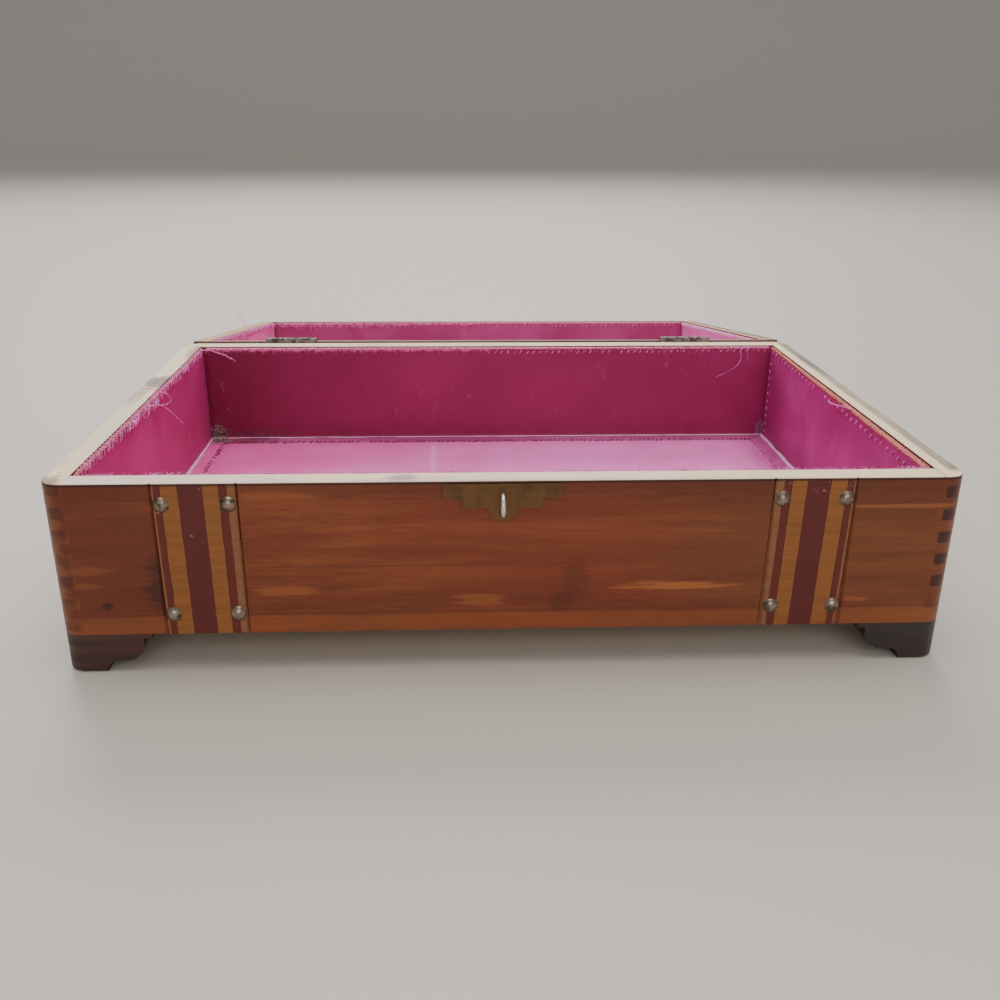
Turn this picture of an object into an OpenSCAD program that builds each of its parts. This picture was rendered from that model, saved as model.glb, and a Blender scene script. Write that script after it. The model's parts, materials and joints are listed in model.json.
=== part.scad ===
// Wooden ditty box with a hinged lid, bracket feet, padded lining and a hasp.
// The lid stands open behind the case, resting on its hinges' stop.
// Each piece is drawn with the case's front face on y = 0 and its feet on z = 0.

/* [Case] */
// Width of the case and the lid
case_w = 305; // [220:1:420]
// Depth of the case and the lid, front to back
case_d = 203; // [150:1:280]
// Height of the case's walls
wall_h = 54.5; // [44:0.5:110]
// Thickness of the walls and the lid's rails
wall_t = 8; // [7:0.5:12]
// Thickness of the bottom board
base_t = 4.5; // [3:0.5:8]
// Radius of the upright corners
corner_r = 6.5; // [3:0.5:7]
// Radius worn onto the rims' outer edges
rim_wear_r = 0.6; // [0.3:0.1:1]

/* [Lid] */
// Height of the lid with its top board
lid_h = 32; // [28:0.5:60]
// Thickness of the lid's top board
lid_top_t = 5.5; // [4:0.5:10]
// Radius of the top board's outer edges
lid_edge_r = 3; // [1:0.5:3.5]
// Gap between the two rims when the lid is shut
rim_gap = 0.3; // [0.2:0.1:1]
// How far past level the open lid leans back
lid_tilt = 8.6; // [6:0.2:12]

/* [Corner joints] */
// Height of one finger of a corner joint
finger_h = 4.1; // [3:0.1:8]
// Step from one finger to the next
finger_pitch = 8.2; // [6:0.1:16]
// Depth of the right corners' first finger below the rim
right_finger_start = 3.5; // [2:0.1:8]
// Depth of the left corners' first finger below the rim
left_finger_start = 0; // [0:0.1:8]

/* [Feet] */
// Height of the feet
foot_h = 14.5; // [8:0.5:30]
// Length of a foot's side under the wall
foot_l = 30.5; // [24:0.5:50]
// Length of a foot's side on the floor
foot_toe_l = 13.9; // [9:0.1:16]
// Thickness of a foot's two sides
foot_t = 12; // [9:0.5:13]
// Width of the ledge near a foot's top
foot_ledge = 3; // [1:0.5:4]
// Depth of the ledge below a foot's top
foot_ledge_drop = 3.4; // [2:0.1:4]
// Radius at the feet's bottom outer edges
foot_edge_r = 1.2; // [0.5:0.1:2]
// Diameter of the foot brads
brad_d = 1.2; // [0.8:0.1:1.8]
// Diameter of the foot brads' heads
brad_head_d = 2.4; // [2:0.1:3]
// Height of the foot brads' heads
brad_head_h = 0.7; // [0.4:0.1:1]
// Depth of the foot brads in the walls
brad_in_wall = 8; // [4:0.5:12]

/* [Painted bands] */
// Distance of the left band's centre from the case's left side
left_band_inset = 49.5; // [34:0.5:70]
// Distance of the right band's centre from the case's right side
right_band_inset = 51.5; // [34:0.5:70]
// Width of a band between its scored lines
band_w = 27.5; // [20:0.5:36]
// Width of a scored line
score_w = 0.9; // [0.5:0.1:1.5]

/* [Tacks] */
// Diameter of a tack's head
tack_d = 5.4; // [4:0.1:7]
// Height of a tack's head
tack_dome_h = 1.5; // [1:0.1:2]
// Length of a tack's shank
tack_l = 5.5; // [3:0.5:7]
// Diameter of a tack's shank
tack_shank_d = 1.2; // [0.8:0.1:1.6]
// Distance between the two tacks across a band
tack_gap = 21.6; // [14:0.2:28]
// Distance of the tacks from the rim and the wall's edges
tack_inset = 7.4; // [6:0.2:12]

/* [Lining] */
// Thickness of the wall linings
lining_t = 2.3; // [1.5:0.1:4]
// Thickness of the floor and lid-top linings
pad_t = 2.2; // [1.5:0.1:4]
// Depth of the linings' edges below the rims
lining_drop = 0.6; // [0.4:0.1:3]

/* [Hinges] */
// Distance of each hinge's centre from the case's side
hinge_inset = 51.5; // [34:0.5:70]
// Length of a hinge
hinge_l = 25.4; // [18:0.2:38]
// Outer diameter of a hinge's knuckles
knuckle_d = 4.2; // [3.6:0.1:4.4]
// Diameter of the hinges' pins
hinge_pin_d = 2; // [1.4:0.1:2.2]
// Thickness of the hinges' leaves
leaf_t = 0.8; // [0.5:0.1:1.2]
// Height of a leaf from the pin to its end
leaf_h = 10; // [9:0.5:14]
// Diameter of the hinge screws' heads
screw_head_d = 3.4; // [3:0.1:4]
// Diameter of the hinge screws
screw_d = 1.8; // [1.2:0.1:2.2]
// Length of the hinge screws
screw_l = 6; // [4:0.5:7]

/* [Hasp] */
// Place of the hasp's centre, to the right of the middle
hasp_x = -3; // [-20:0.5:20]
// Width of the strike plate and the hasp plate
plate_w = 38.9; // [30:0.1:46]
// Height of the plates' widest step
plate_step_h = 4.8; // [3.5:0.1:6]
// Width of the plates' second step
plate_mid_w = 26.6; // [18:0.1:29]
// Height of the plates down to the second step
plate_mid_h = 8.3; // [7:0.1:10]
// Height of the plates with their round tab
plate_h = 12.9; // [12:0.1:16]
// Width of the round tab and of the tongue
tab_w = 9.9; // [8:0.1:14]
// Thickness of the plates and the tongue
plate_t = 0.8; // [0.5:0.1:1.2]
// Depth of the strike plate's top below the rim
plate_drop = 1; // [0.3:0.1:2]
// Diameter of the staple's wire
staple_d = 1.8; // [1.2:0.1:2]
// How far the staple stands out from the case
staple_reach = 6.6; // [6:0.1:9]
// Height of the staple over its two legs
staple_h = 9; // [7.4:0.1:9.6]
// Depth of the staple's top below the rim
staple_drop = 3.4; // [3.2:0.1:5.4]
// Depth of the staple's legs in the wall
staple_leg = 5.5; // [3:0.5:6.5]
// Outer diameter of the hasp's knuckles
hasp_knuckle_d = 3.2; // [3:0.1:3.6]
// Diameter of the hasp's pin
hasp_pin_d = 1.5; // [1:0.1:1.6]
// Diameter of the hasp nails' heads
nail_head_d = 2.6; // [2:0.1:3.4]

/* [Hidden] */

$fn = 48;
small = 0.01;
brad_sink = 0.5;
seat_clear = 0.02;
run_clear = 0.06;
side_clear = 0.2;

// Levels of the case, the lid and the pins
wall_bottom_z = foot_h;
rim_z = foot_h + wall_h;
floor_z = wall_bottom_z + base_t;
lid_rim_z = rim_z + rim_gap;
lid_top_z = lid_rim_z + lid_h;
rail_h = lid_h - lid_top_t;
panel_z = lid_rim_z + rail_h;
hinge_x = case_w / 2 - hinge_inset;
wood_w_in = case_w - 2 * wall_t;
wood_d_in = case_d - 2 * wall_t;

// The pins stand off the back by what lets the open lid rest on the case's back
lean_gap = 0.3;
lid_back_flat = lid_h - lid_edge_r;
hinge_off = (lean_gap + lid_back_flat * sin(lid_tilt)) / (1 + cos(lid_tilt));
hinge_y = case_d + max(hinge_off, knuckle_d / 2 + side_clear);
hinge_z = rim_z + rim_gap / 2;
open_turn = 180 + lid_tilt;

// The hasp's pin stands above the shut lid's rim, in front of its rail
hasp_y = -max(hasp_knuckle_d / 2, plate_t + side_clear + plate_t / 2 + side_clear);
hasp_z = lid_rim_z + hasp_knuckle_d / 2 + side_clear;
slot_clear = 0.45;
slot_w = staple_d + 2 * slot_clear + 0.4;
staple_top_z = rim_z - staple_drop;
staple_low_z = staple_top_z - staple_h;
slot_start = hasp_z - staple_top_z - slot_clear;
staple_far = norm([staple_reach + hasp_y - staple_d / 2, hasp_z - staple_low_z]);
slot_end = staple_far + slot_clear;
tongue_rim = 1.9;
tongue_l = slot_end + tongue_rim;

// Middle of the band on one side, -1 for the left and 1 for the right
function band_x(side) = side * (case_w / 2 - (side < 0 ? left_band_inset : right_band_inset));

// The part's origin is on the floor, in the middle of the box with its lid open
function opened(y, z) = [
    hinge_y + (y - hinge_y) * cos(open_turn) + (z - hinge_z) * sin(open_turn),
    hinge_z - (y - hinge_y) * sin(open_turn) + (z - hinge_z) * cos(open_turn)
];
back_y = opened(hasp_y, hasp_z)[0] + hasp_knuckle_d / 2;
origin_y = (back_y - staple_reach) / 2;
echo(hinge_at = [hinge_y - origin_y, hinge_z], hasp_at = opened(hasp_y, hasp_z) - [origin_y, 0]);
echo(origin_y = origin_y, slot = [slot_start, slot_end, slot_w], tongue_l = tongue_l);

// Places a piece of the case in the part's frame
module on_case() {
    translate([0, -origin_y, 0]) children();
}

// Turns a piece of the shut lid about the hinges' pins to where it stands open
module on_lid() {
    translate([0, hinge_y - origin_y, hinge_z])
        rotate([-open_turn, 0, 0])
            translate([0, -hinge_y, -hinge_z]) children();
}

// Hangs the tongue straight down from its pin on the open lid
module on_tongue() {
    pin = opened(hasp_y, hasp_z);
    translate([hasp_x, pin[0] - origin_y, pin[1]]) children();
}

// A block round the case's outline with round upright corners and one soft edge at its top
module round_block(h, r) {
    cx = case_w / 2 - corner_r;
    y0 = corner_r;
    y1 = case_d - corner_r;
    translate([-cx, r, 0]) cube([2 * cx, case_d - 2 * r, h]);
    translate([-case_w / 2 + r, y0, 0]) cube([case_w - 2 * r, y1 - y0, h]);
    translate([-cx, 0, 0]) cube([2 * cx, case_d, h - r]);
    translate([-case_w / 2, y0, 0]) cube([case_w, y1 - y0, h - r]);
    for (y = [r, case_d - r]) {
        translate([-cx, y, h - r]) rotate([0, 90, 0]) cylinder(h = 2 * cx, r = r);
    }
    for (x = [-case_w / 2 + r, case_w / 2 - r]) {
        translate([x, y0, h - r]) rotate([-90, 0, 0]) cylinder(h = y1 - y0, r = r);
    }
    for (x = [-cx, cx], y = [y0, y1]) {
        translate([x, y, 0]) rotate_extrude() {
            square([corner_r - r, h]);
            square([corner_r, h - r]);
            translate([corner_r - r, h - r]) intersection() {
                circle(r = r);
                square(r);
            }
        }
    }
}

// Fingers of a side wall at a front or back corner, as blocks to add or to cut
module fingers(h, top, y, start) {
    n = floor((h - start - finger_h / 2) / finger_pitch) + 1;
    for (i = [0 : n - 1]) {
        low = max(top - h, top - start - i * finger_pitch - finger_h);
        high = top - start - i * finger_pitch;
        translate([0, y, low]) cube([wall_t, wall_t, high - low]);
    }
}

// A front or back board, cut for the fingers of the side boards
module end_board(h, bottom, y) {
    difference() {
        translate([-case_w / 2, y, bottom]) cube([case_w, wall_t, h]);
        translate([-case_w / 2, 0, 0]) fingers(h, bottom + h, y, left_finger_start);
        translate([case_w / 2 - wall_t, 0, 0]) fingers(h, bottom + h, y, right_finger_start);
    }
}

// A side board with its fingers through both end boards
module side_board(h, bottom, x) {
    start = x < 0 ? left_finger_start : right_finger_start;
    translate([x, wall_t, bottom]) cube([wall_t, wood_d_in, h]);
    translate([x, 0, 0]) fingers(h, bottom + h, 0, start);
    translate([x, 0, 0]) fingers(h, bottom + h, case_d - wall_t, start);
}

// Scored lines at both edges of both bands, upright on a face at y
module upright_scores(y, bottom, h) {
    for (side = [-1, 1], edge = [-1, 1]) {
        translate([band_x(side) + edge * band_w / 2, y, bottom - small]) {
            rotate([0, 0, 45]) translate([-score_w / 2, -score_w / 2, 0]) {
                cube([score_w, score_w, h + 2 * small]);
            }
        }
    }
}

// Two tacks across each band, at the height z of a face on y = 0
module band_pair(z, l, d) {
    for (side = [-1, 1], edge = [-1, 1]) {
        translate([band_x(side) + edge * tack_gap / 2, -small, z]) {
            rotate([-90, 0, 0]) cylinder(h = l + small, d = d, $fn = 24);
        }
    }
}

// One tack with a domed head, standing on a face whose outside is -Z
module tack() {
    dome_r = (pow(tack_d / 2, 2) + pow(tack_dome_h, 2)) / (2 * tack_dome_h);
    intersection() {
        translate([0, 0, dome_r - tack_dome_h]) sphere(r = dome_r);
        translate([0, 0, -tack_dome_h]) cylinder(h = tack_dome_h, d = tack_d);
    }
    cylinder(h = tack_l, d = tack_shank_d, $fn = 24);
}

// Places for hinge screws on a face at y, at heights measured down from the pin
module hinge_screw_places(z, dir) {
    for (side = [-1, 1], x = [-1, 1]) {
        translate([side * hinge_x + x * hinge_l * 0.3, case_d + leaf_t, z + dir * leaf_h * 0.62]) {
            rotate([90, 0, 0]) children();
        }
    }
}

// A countersunk screw, its head flush with z = 0 and its point towards +Z
module hinge_screw() {
    cylinder(h = leaf_t, d1 = screw_head_d, d2 = screw_d, $fn = 32);
    cylinder(h = screw_l, d = screw_d, $fn = 32);
}

// Holes that the staple's legs fill
module staple_legs(l) {
    for (z = [staple_top_z - staple_d / 2, staple_low_z + staple_d / 2]) {
        translate([hasp_x, 0, z]) rotate([-90, 0, 0]) cylinder(h = l, d = staple_d, $fn = 32);
    }
}

// Walls
module front_wall() {
    color("saddlebrown") on_case() difference() {
        intersection() {
            end_board(wall_h, wall_bottom_z, 0);
            round_block(rim_z, rim_wear_r);
        }
        upright_scores(0, wall_bottom_z, wall_h);
        band_pair(rim_z - tack_inset, tack_l, tack_shank_d);
        band_pair(wall_bottom_z + tack_inset, tack_l, tack_shank_d);
        translate([0, -small, 0]) staple_legs(staple_leg + small);
        foot_brad_shanks();
    }
}

module back_wall() {
    color("saddlebrown") on_case() difference() {
        intersection() {
            end_board(wall_h, wall_bottom_z, case_d - wall_t);
            round_block(rim_z, rim_wear_r);
        }
        upright_scores(case_d, wall_bottom_z, wall_h);
        hinge_screw_places(hinge_z, -1) cylinder(h = screw_l, d = screw_d, $fn = 32);
        foot_brad_shanks();
    }
}

// A side wall whose low left corner is at x
module side_wall(x) {
    difference() {
        intersection() {
            side_board(wall_h, wall_bottom_z, x);
            round_block(rim_z, rim_wear_r);
        }
        foot_brad_shanks();
    }
}

module left_wall() {
    color("sienna") on_case() side_wall(-case_w / 2);
}

module right_wall() {
    color("sienna") on_case() side_wall(case_w / 2 - wall_t);
}

module base_panel() {
    color("burlywood") on_case() {
        translate([-wood_w_in / 2, wall_t, wall_bottom_z]) cube([wood_w_in, wood_d_in, base_t]);
    }
}

// Outline of a foot's side: a ledge, a quarter round and a hollow down to the toe
module foot_side() {
    ledge_z = foot_h - foot_ledge_drop;
    bow_l = foot_l - foot_ledge - foot_toe_l;
    bow_r = min(ledge_z, bow_l) * 0.6;
    hollow_z = ledge_z - bow_r;
    difference() {
        union() {
            square([foot_toe_l, foot_h]);
            translate([0, hollow_z]) square([foot_l - foot_ledge - bow_r, foot_h - hollow_z]);
            translate([0, ledge_z]) square([foot_l - foot_ledge, foot_ledge_drop]);
            translate([0, foot_h - foot_ledge_drop / 2]) square([foot_l, foot_ledge_drop / 2]);
            translate([foot_l - foot_ledge - bow_r, ledge_z]) circle(r = bow_r);
            square([foot_toe_l + hollow_z, hollow_z + small]);
        }
        translate([foot_toe_l + hollow_z, 0]) circle(r = hollow_z);
        translate([foot_toe_l + hollow_z, -foot_h]) square([foot_l, foot_h + hollow_z]);
        translate([foot_l, foot_h - foot_ledge_drop]) circle(r = foot_ledge_drop / 2);
    }
}

// A bracket foot under the corner on the side_x and side_y sides
module foot(side_x, side_y) {
    corner_y = side_y < 0 ? 0 : case_d;
    difference() {
        intersection() {
            translate([side_x * case_w / 2, corner_y, 0]) {
                mirror([side_x > 0 ? 1 : 0, 0, 0]) mirror([0, side_y > 0 ? 1 : 0, 0]) {
                    translate([0, foot_t, 0]) rotate([90, 0, 0]) linear_extrude(foot_t) foot_side();
                    rotate([90, 0, 90]) linear_extrude(foot_t) foot_side();
                }
            }
            translate([0, 0, foot_h]) mirror([0, 0, 1]) round_block(foot_h, foot_edge_r);
        }
        foot_brad_holes(side_x, side_y);
    }
}

// Places of the two brads of each foot, on the floor under the walls' middles
module foot_brad_places(side_x, side_y) {
    mid_wall = wall_t / 2;
    along = foot_toe_l * 0.72;
    for (p = [[along, mid_wall], [mid_wall, along]]) {
        translate([side_x * (case_w / 2 - p[0]), side_y < 0 ? p[1] : case_d - p[1], 0]) children();
    }
}

// Holes that a foot's brads and their sunk heads fill
module foot_brad_holes(side_x, side_y) {
    foot_brad_places(side_x, side_y) {
        translate([0, 0, -small]) cylinder(h = brad_sink + brad_head_h + small, d = brad_head_d, $fn = 24);
        cylinder(h = foot_h + small, d = brad_d, $fn = 24);
    }
}

// The brads' shanks, from the feet up into the walls
module foot_brad_shanks() {
    for (x = [-1, 1], y = [-1, 1]) {
        foot_brad_places(x, y) translate([0, 0, brad_sink]) {
            cylinder(h = foot_h - brad_sink + brad_in_wall, d = brad_d, $fn = 24);
        }
    }
}

module front_left_foot() {
    color([0.24, 0.14, 0.12]) on_case() foot(-1, -1);
}

module front_right_foot() {
    color([0.19, 0.16, 0.16]) on_case() foot(1, -1);
}

module back_left_foot() {
    color([0.24, 0.14, 0.12]) on_case() foot(-1, 1);
}

module back_right_foot() {
    color([0.19, 0.16, 0.16]) on_case() foot(1, 1);
}

module foot_brads() {
    color("dimgray") on_case() {
        foot_brad_shanks();
        for (x = [-1, 1], y = [-1, 1]) {
            foot_brad_places(x, y) translate([0, 0, brad_sink]) {
                cylinder(h = brad_head_h, d = brad_head_d, $fn = 24);
            }
        }
    }
}

module band_tacks() {
    color("silver") on_case() {
        for (side = [-1, 1], edge = [-1, 1], z = [rim_z - tack_inset, wall_bottom_z + tack_inset]) {
            translate([band_x(side) + edge * tack_gap / 2, 0, z]) rotate([-90, 0, 0]) tack();
        }
    }
}

// Outline of a hasp plate: two steps and a round tab, pointing down from y = 0
module plate_outline() {
    translate([-plate_w / 2, -plate_step_h]) square([plate_w, plate_step_h]);
    translate([-plate_mid_w / 2, -plate_mid_h]) square([plate_mid_w, plate_mid_h]);
    translate([-tab_w / 2, -plate_h + tab_w / 2]) square([tab_w, plate_h - tab_w / 2]);
    translate([0, -plate_h + tab_w / 2]) circle(d = tab_w);
}

module strike_plate() {
    color("darkgoldenrod") on_case() difference() {
        translate([hasp_x, 0, rim_z - plate_drop]) rotate([90, 0, 0]) {
            linear_extrude(plate_t) plate_outline();
        }
        translate([0, -plate_t - small, 0]) staple_legs(plate_t + 2 * small);
    }
}

// A wire staple: two legs through the plate and a round bow in front
module staple() {
    bow_r = (staple_h - staple_d) / 2;
    straight = staple_reach - staple_d / 2 - bow_r;
    color("silver") on_case() {
        translate([0, -straight, 0]) staple_legs(straight + staple_leg);
        translate([hasp_x, -straight, staple_low_z + staple_h / 2]) rotate([0, 90, 0]) {
            rotate([0, 0, 180]) rotate_extrude(angle = 180) {
                translate([bow_r, 0]) circle(d = staple_d, $fn = 32);
            }
        }
    }
}

// A lining slab against a wall, with a round upper edge, running along X for l
module lining_slab(l, h) {
    cube([l, lining_t, h - lining_t / 2]);
    translate([0, lining_t / 2, h - lining_t / 2]) rotate([0, 90, 0]) {
        cylinder(h = l, d = lining_t, $fn = 32);
    }
}

module floor_lining() {
    color("palevioletred") on_case() {
        translate([-wood_w_in / 2, wall_t, floor_z]) cube([wood_w_in, wood_d_in, pad_t]);
    }
}

lining_z = floor_z + pad_t;
lining_h = rim_z - lining_drop - lining_z;
side_lining_d = wood_d_in - 2 * lining_t;

module front_lining() {
    color("mediumvioletred") on_case() {
        translate([-wood_w_in / 2, wall_t, lining_z]) lining_slab(wood_w_in, lining_h);
    }
}

module back_lining() {
    color("mediumvioletred") on_case() {
        translate([wood_w_in / 2, case_d - wall_t, lining_z]) rotate([0, 0, 180]) {
            lining_slab(wood_w_in, lining_h);
        }
    }
}

module left_lining() {
    color("mediumvioletred") on_case() {
        translate([-wood_w_in / 2, case_d - wall_t - lining_t, lining_z]) rotate([0, 0, -90]) {
            lining_slab(side_lining_d, lining_h);
        }
    }
}

module right_lining() {
    color("mediumvioletred") on_case() {
        translate([wood_w_in / 2, wall_t + lining_t, lining_z]) rotate([0, 0, 90]) {
            lining_slab(side_lining_d, lining_h);
        }
    }
}

// Knuckles along X about the pin, from a list of starts and lengths, with a bore
module knuckles(spans, d, bore, leaf, to_z) {
    difference() {
        union() {
            for (s = spans) {
                translate([s[0], 0, 0]) rotate([0, 90, 0]) cylinder(h = s[1], d = d);
                translate([s[0], -leaf, min(0, to_z)]) cube([s[1], leaf_t, abs(to_z)]);
            }
            children();
        }
        translate([-hinge_l, 0, 0]) rotate([0, 90, 0]) cylinder(h = 2 * hinge_l, d = bore);
    }
}

// A hinge leaf below (dir = -1) or above (dir = 1) the pin, its knuckles in spans
module hinge_leaf(side, dir, spans, bore) {
    off = hinge_y - case_d;
    difference() {
        translate([side * hinge_x, hinge_y, hinge_z]) {
            knuckles(spans, knuckle_d, bore, off, dir * leaf_h) {
                translate([-hinge_l / 2, -off, dir > 0 ? knuckle_d / 2 + side_clear : -leaf_h]) {
                    cube([hinge_l, leaf_t, leaf_h - knuckle_d / 2 - side_clear]);
                }
            }
        }
        hinge_screw_places(hinge_z, dir) {
            translate([0, 0, -small]) cylinder(h = 2 * small, d = screw_head_d, $fn = 32);
            cylinder(h = leaf_t, d1 = screw_head_d, d2 = screw_d, $fn = 32);
            cylinder(h = leaf_t + small, d = screw_d, $fn = 32);
        }
    }
}

third = hinge_l / 3;
outer_spans = [[-hinge_l / 2, third - side_clear / 2], [third / 2 + side_clear / 2, third - side_clear / 2]];
middle_span = [[-third / 2 + side_clear / 2, third - side_clear]];
case_bore = hinge_pin_d + 2 * seat_clear;
lid_bore = hinge_pin_d + 2 * run_clear;

module left_hinge_case_leaf() {
    color("gray") on_case() hinge_leaf(-1, -1, outer_spans, case_bore);
}

module right_hinge_case_leaf() {
    color("gray") on_case() hinge_leaf(1, -1, outer_spans, case_bore);
}

module hinge_pin(side) {
    translate([side * hinge_x - hinge_l / 2, hinge_y, hinge_z]) {
        rotate([0, 90, 0]) cylinder(h = hinge_l, d = hinge_pin_d);
    }
}

module left_hinge_pin() {
    color("darkgray") on_case() hinge_pin(-1);
}

module right_hinge_pin() {
    color("darkgray") on_case() hinge_pin(1);
}

module case_hinge_screws() {
    color("dimgray") on_case() hinge_screw_places(hinge_z, -1) hinge_screw();
}

// Lid
module lid_block() {
    translate([0, 0, lid_rim_z]) round_block(lid_h, lid_edge_r);
}

// The lid's rails share the soft outer edge that the case's walls have
module rail_block() {
    translate([0, 0, lid_rim_z + rail_h]) mirror([0, 0, 1]) round_block(rail_h, rim_wear_r);
}

module lid_panel() {
    color("saddlebrown") on_lid() difference() {
        intersection() {
            translate([-case_w / 2, 0, panel_z]) cube([case_w, case_d, lid_top_t]);
            lid_block();
        }
        for (side = [-1, 1], edge = [-1, 1]) {
            translate([band_x(side) + edge * band_w / 2, -small, lid_top_z]) {
                rotate([0, 45, 0]) translate([-score_w / 2, 0, -score_w / 2]) {
                    cube([score_w, case_d + 2 * small, score_w]);
                }
            }
        }
        lid_tack_places() cylinder(h = lid_top_t - wood_left, d = tack_shank_d, $fn = 24);
    }
}

module lid_front_rail() {
    color("saddlebrown") on_lid() difference() {
        intersection() {
            end_board(rail_h, lid_rim_z, 0);
            rail_block();
        }
        upright_scores(0, lid_rim_z, rail_h);
        band_pair(lid_rim_z + rail_h / 2, tack_l, tack_shank_d);
        hasp_nail_places() translate([0, 0, -small]) {
            cylinder(h = tack_l + small, d = tack_shank_d, $fn = 24);
        }
    }
}

module lid_back_rail() {
    color("saddlebrown") on_lid() difference() {
        intersection() {
            end_board(rail_h, lid_rim_z, case_d - wall_t);
            rail_block();
        }
        upright_scores(case_d, lid_rim_z, rail_h);
        hinge_screw_places(hinge_z, 1) cylinder(h = screw_l, d = screw_d, $fn = 32);
    }
}

module lid_left_rail() {
    color("sienna") on_lid() intersection() {
        side_board(rail_h, lid_rim_z, -case_w / 2);
        rail_block();
    }
}

module lid_right_rail() {
    color("sienna") on_lid() intersection() {
        side_board(rail_h, lid_rim_z, case_w / 2 - wall_t);
        rail_block();
    }
}

// Wood left between a top tack's point and the lining
wood_left = 1;

// Places of the top board's tacks, near the ends of both bands
module lid_tack_places() {
    for (side = [-1, 1], edge = [-1, 1], y = [tack_inset * 1.6, case_d - tack_inset * 1.6]) {
        translate([band_x(side) + edge * tack_gap / 2, y, lid_top_z + small]) {
            rotate([180, 0, 0]) children();
        }
    }
}

module lid_tacks() {
    color("silver") on_lid() {
        translate([0, 0, -small]) lid_tack_places() lid_top_tack();
        for (side = [-1, 1], edge = [-1, 1]) {
            translate([band_x(side) + edge * tack_gap / 2, 0, lid_rim_z + rail_h / 2]) {
                rotate([-90, 0, 0]) tack();
            }
        }
    }
}

// A tack whose shank ends inside the thinner top board
module lid_top_tack() {
    intersection() {
        tack();
        translate([-tack_d, -tack_d, -tack_d]) {
            cube([2 * tack_d, 2 * tack_d, tack_d + lid_top_t - wood_left - small]);
        }
    }
}

module lid_panel_lining() {
    color("palevioletred") on_lid() {
        translate([-wood_w_in / 2, wall_t, panel_z - pad_t]) cube([wood_w_in, wood_d_in, pad_t]);
    }
}

lid_lining_h = rail_h - pad_t - lining_drop;

// A lid lining slab hangs from the top board towards the rim
module lid_lining(x, y, turn, l) {
    translate([x, y, panel_z - pad_t]) mirror([0, 0, 1]) rotate([0, 0, turn]) {
        lining_slab(l, lid_lining_h);
    }
}

module lid_front_lining() {
    color("mediumvioletred") on_lid() lid_lining(-wood_w_in / 2, wall_t, 0, wood_w_in);
}

module lid_back_lining() {
    color("mediumvioletred") on_lid() {
        lid_lining(wood_w_in / 2, case_d - wall_t, 180, wood_w_in);
    }
}

module lid_left_lining() {
    color("mediumvioletred") on_lid() {
        lid_lining(-wood_w_in / 2, case_d - wall_t - lining_t, -90, side_lining_d);
    }
}

module lid_right_lining() {
    color("mediumvioletred") on_lid() {
        lid_lining(wood_w_in / 2, wall_t + lining_t, 90, side_lining_d);
    }
}

module left_hinge_lid_leaf() {
    color("gray") on_lid() hinge_leaf(-1, 1, middle_span, lid_bore);
}

module right_hinge_lid_leaf() {
    color("gray") on_lid() hinge_leaf(1, 1, middle_span, lid_bore);
}

module lid_hinge_screws() {
    color("dimgray") on_lid() hinge_screw_places(hinge_z, 1) hinge_screw();
}

// The hasp's three knuckles share the tab's width
hasp_third = tab_w / 3;
hasp_outer = [[-tab_w / 2, hasp_third - side_clear / 2], [hasp_third / 2 + side_clear / 2, hasp_third - side_clear / 2]];
hasp_middle = [[-hasp_third / 2 + side_clear / 2, hasp_third - side_clear]];

// The plate's knuckles are joined to it by short straps behind them
module hasp_plate() {
    plate_z = hasp_z + hasp_knuckle_d / 2 + side_clear;
    color("darkgoldenrod") on_lid() difference() {
        union() {
            translate([hasp_x, 0, plate_z]) rotate([90, 0, 0]) mirror([0, 1, 0]) {
                linear_extrude(plate_t) plate_outline();
            }
            for (s = hasp_outer) {
                translate([hasp_x + s[0], -plate_t, hasp_z]) cube([s[1], plate_t, plate_z - hasp_z + small]);
                translate([hasp_x + s[0], hasp_y, hasp_z]) rotate([0, 90, 0]) {
                    cylinder(h = s[1], d = hasp_knuckle_d);
                }
            }
        }
        translate([hasp_x - tab_w, hasp_y, hasp_z]) rotate([0, 90, 0]) {
            cylinder(h = 2 * tab_w, d = hasp_pin_d + 2 * seat_clear, $fn = 32);
        }
        hasp_nail_places() translate([0, 0, -plate_t - small]) {
            cylinder(h = plate_t + 2 * small, d = tack_shank_d, $fn = 24);
        }
    }
}

module hasp_pin() {
    color("darkgray") on_lid() translate([hasp_x - tab_w / 2, hasp_y, hasp_z]) {
        rotate([0, 90, 0]) cylinder(h = tab_w, d = hasp_pin_d, $fn = 32);
    }
}

// Places of the hasp plate's nails on the rail's face, with +Z into the wood
module hasp_nail_places() {
    plate_z = hasp_z + hasp_knuckle_d / 2 + side_clear;
    for (x = [-1, 1]) {
        translate([hasp_x + x * (plate_w / 2 - plate_step_h / 2), 0, plate_z + plate_step_h / 2]) {
            rotate([-90, 0, 0]) children();
        }
    }
}

module hasp_nails() {
    head_h = 0.6;
    color("peru") on_lid() hasp_nail_places() {
        translate([0, 0, -plate_t - head_h]) cylinder(h = head_h, d = nail_head_d, $fn = 24);
        translate([0, 0, -plate_t]) cylinder(h = plate_t + tack_l, d = tack_shank_d, $fn = 24);
    }
}

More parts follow.
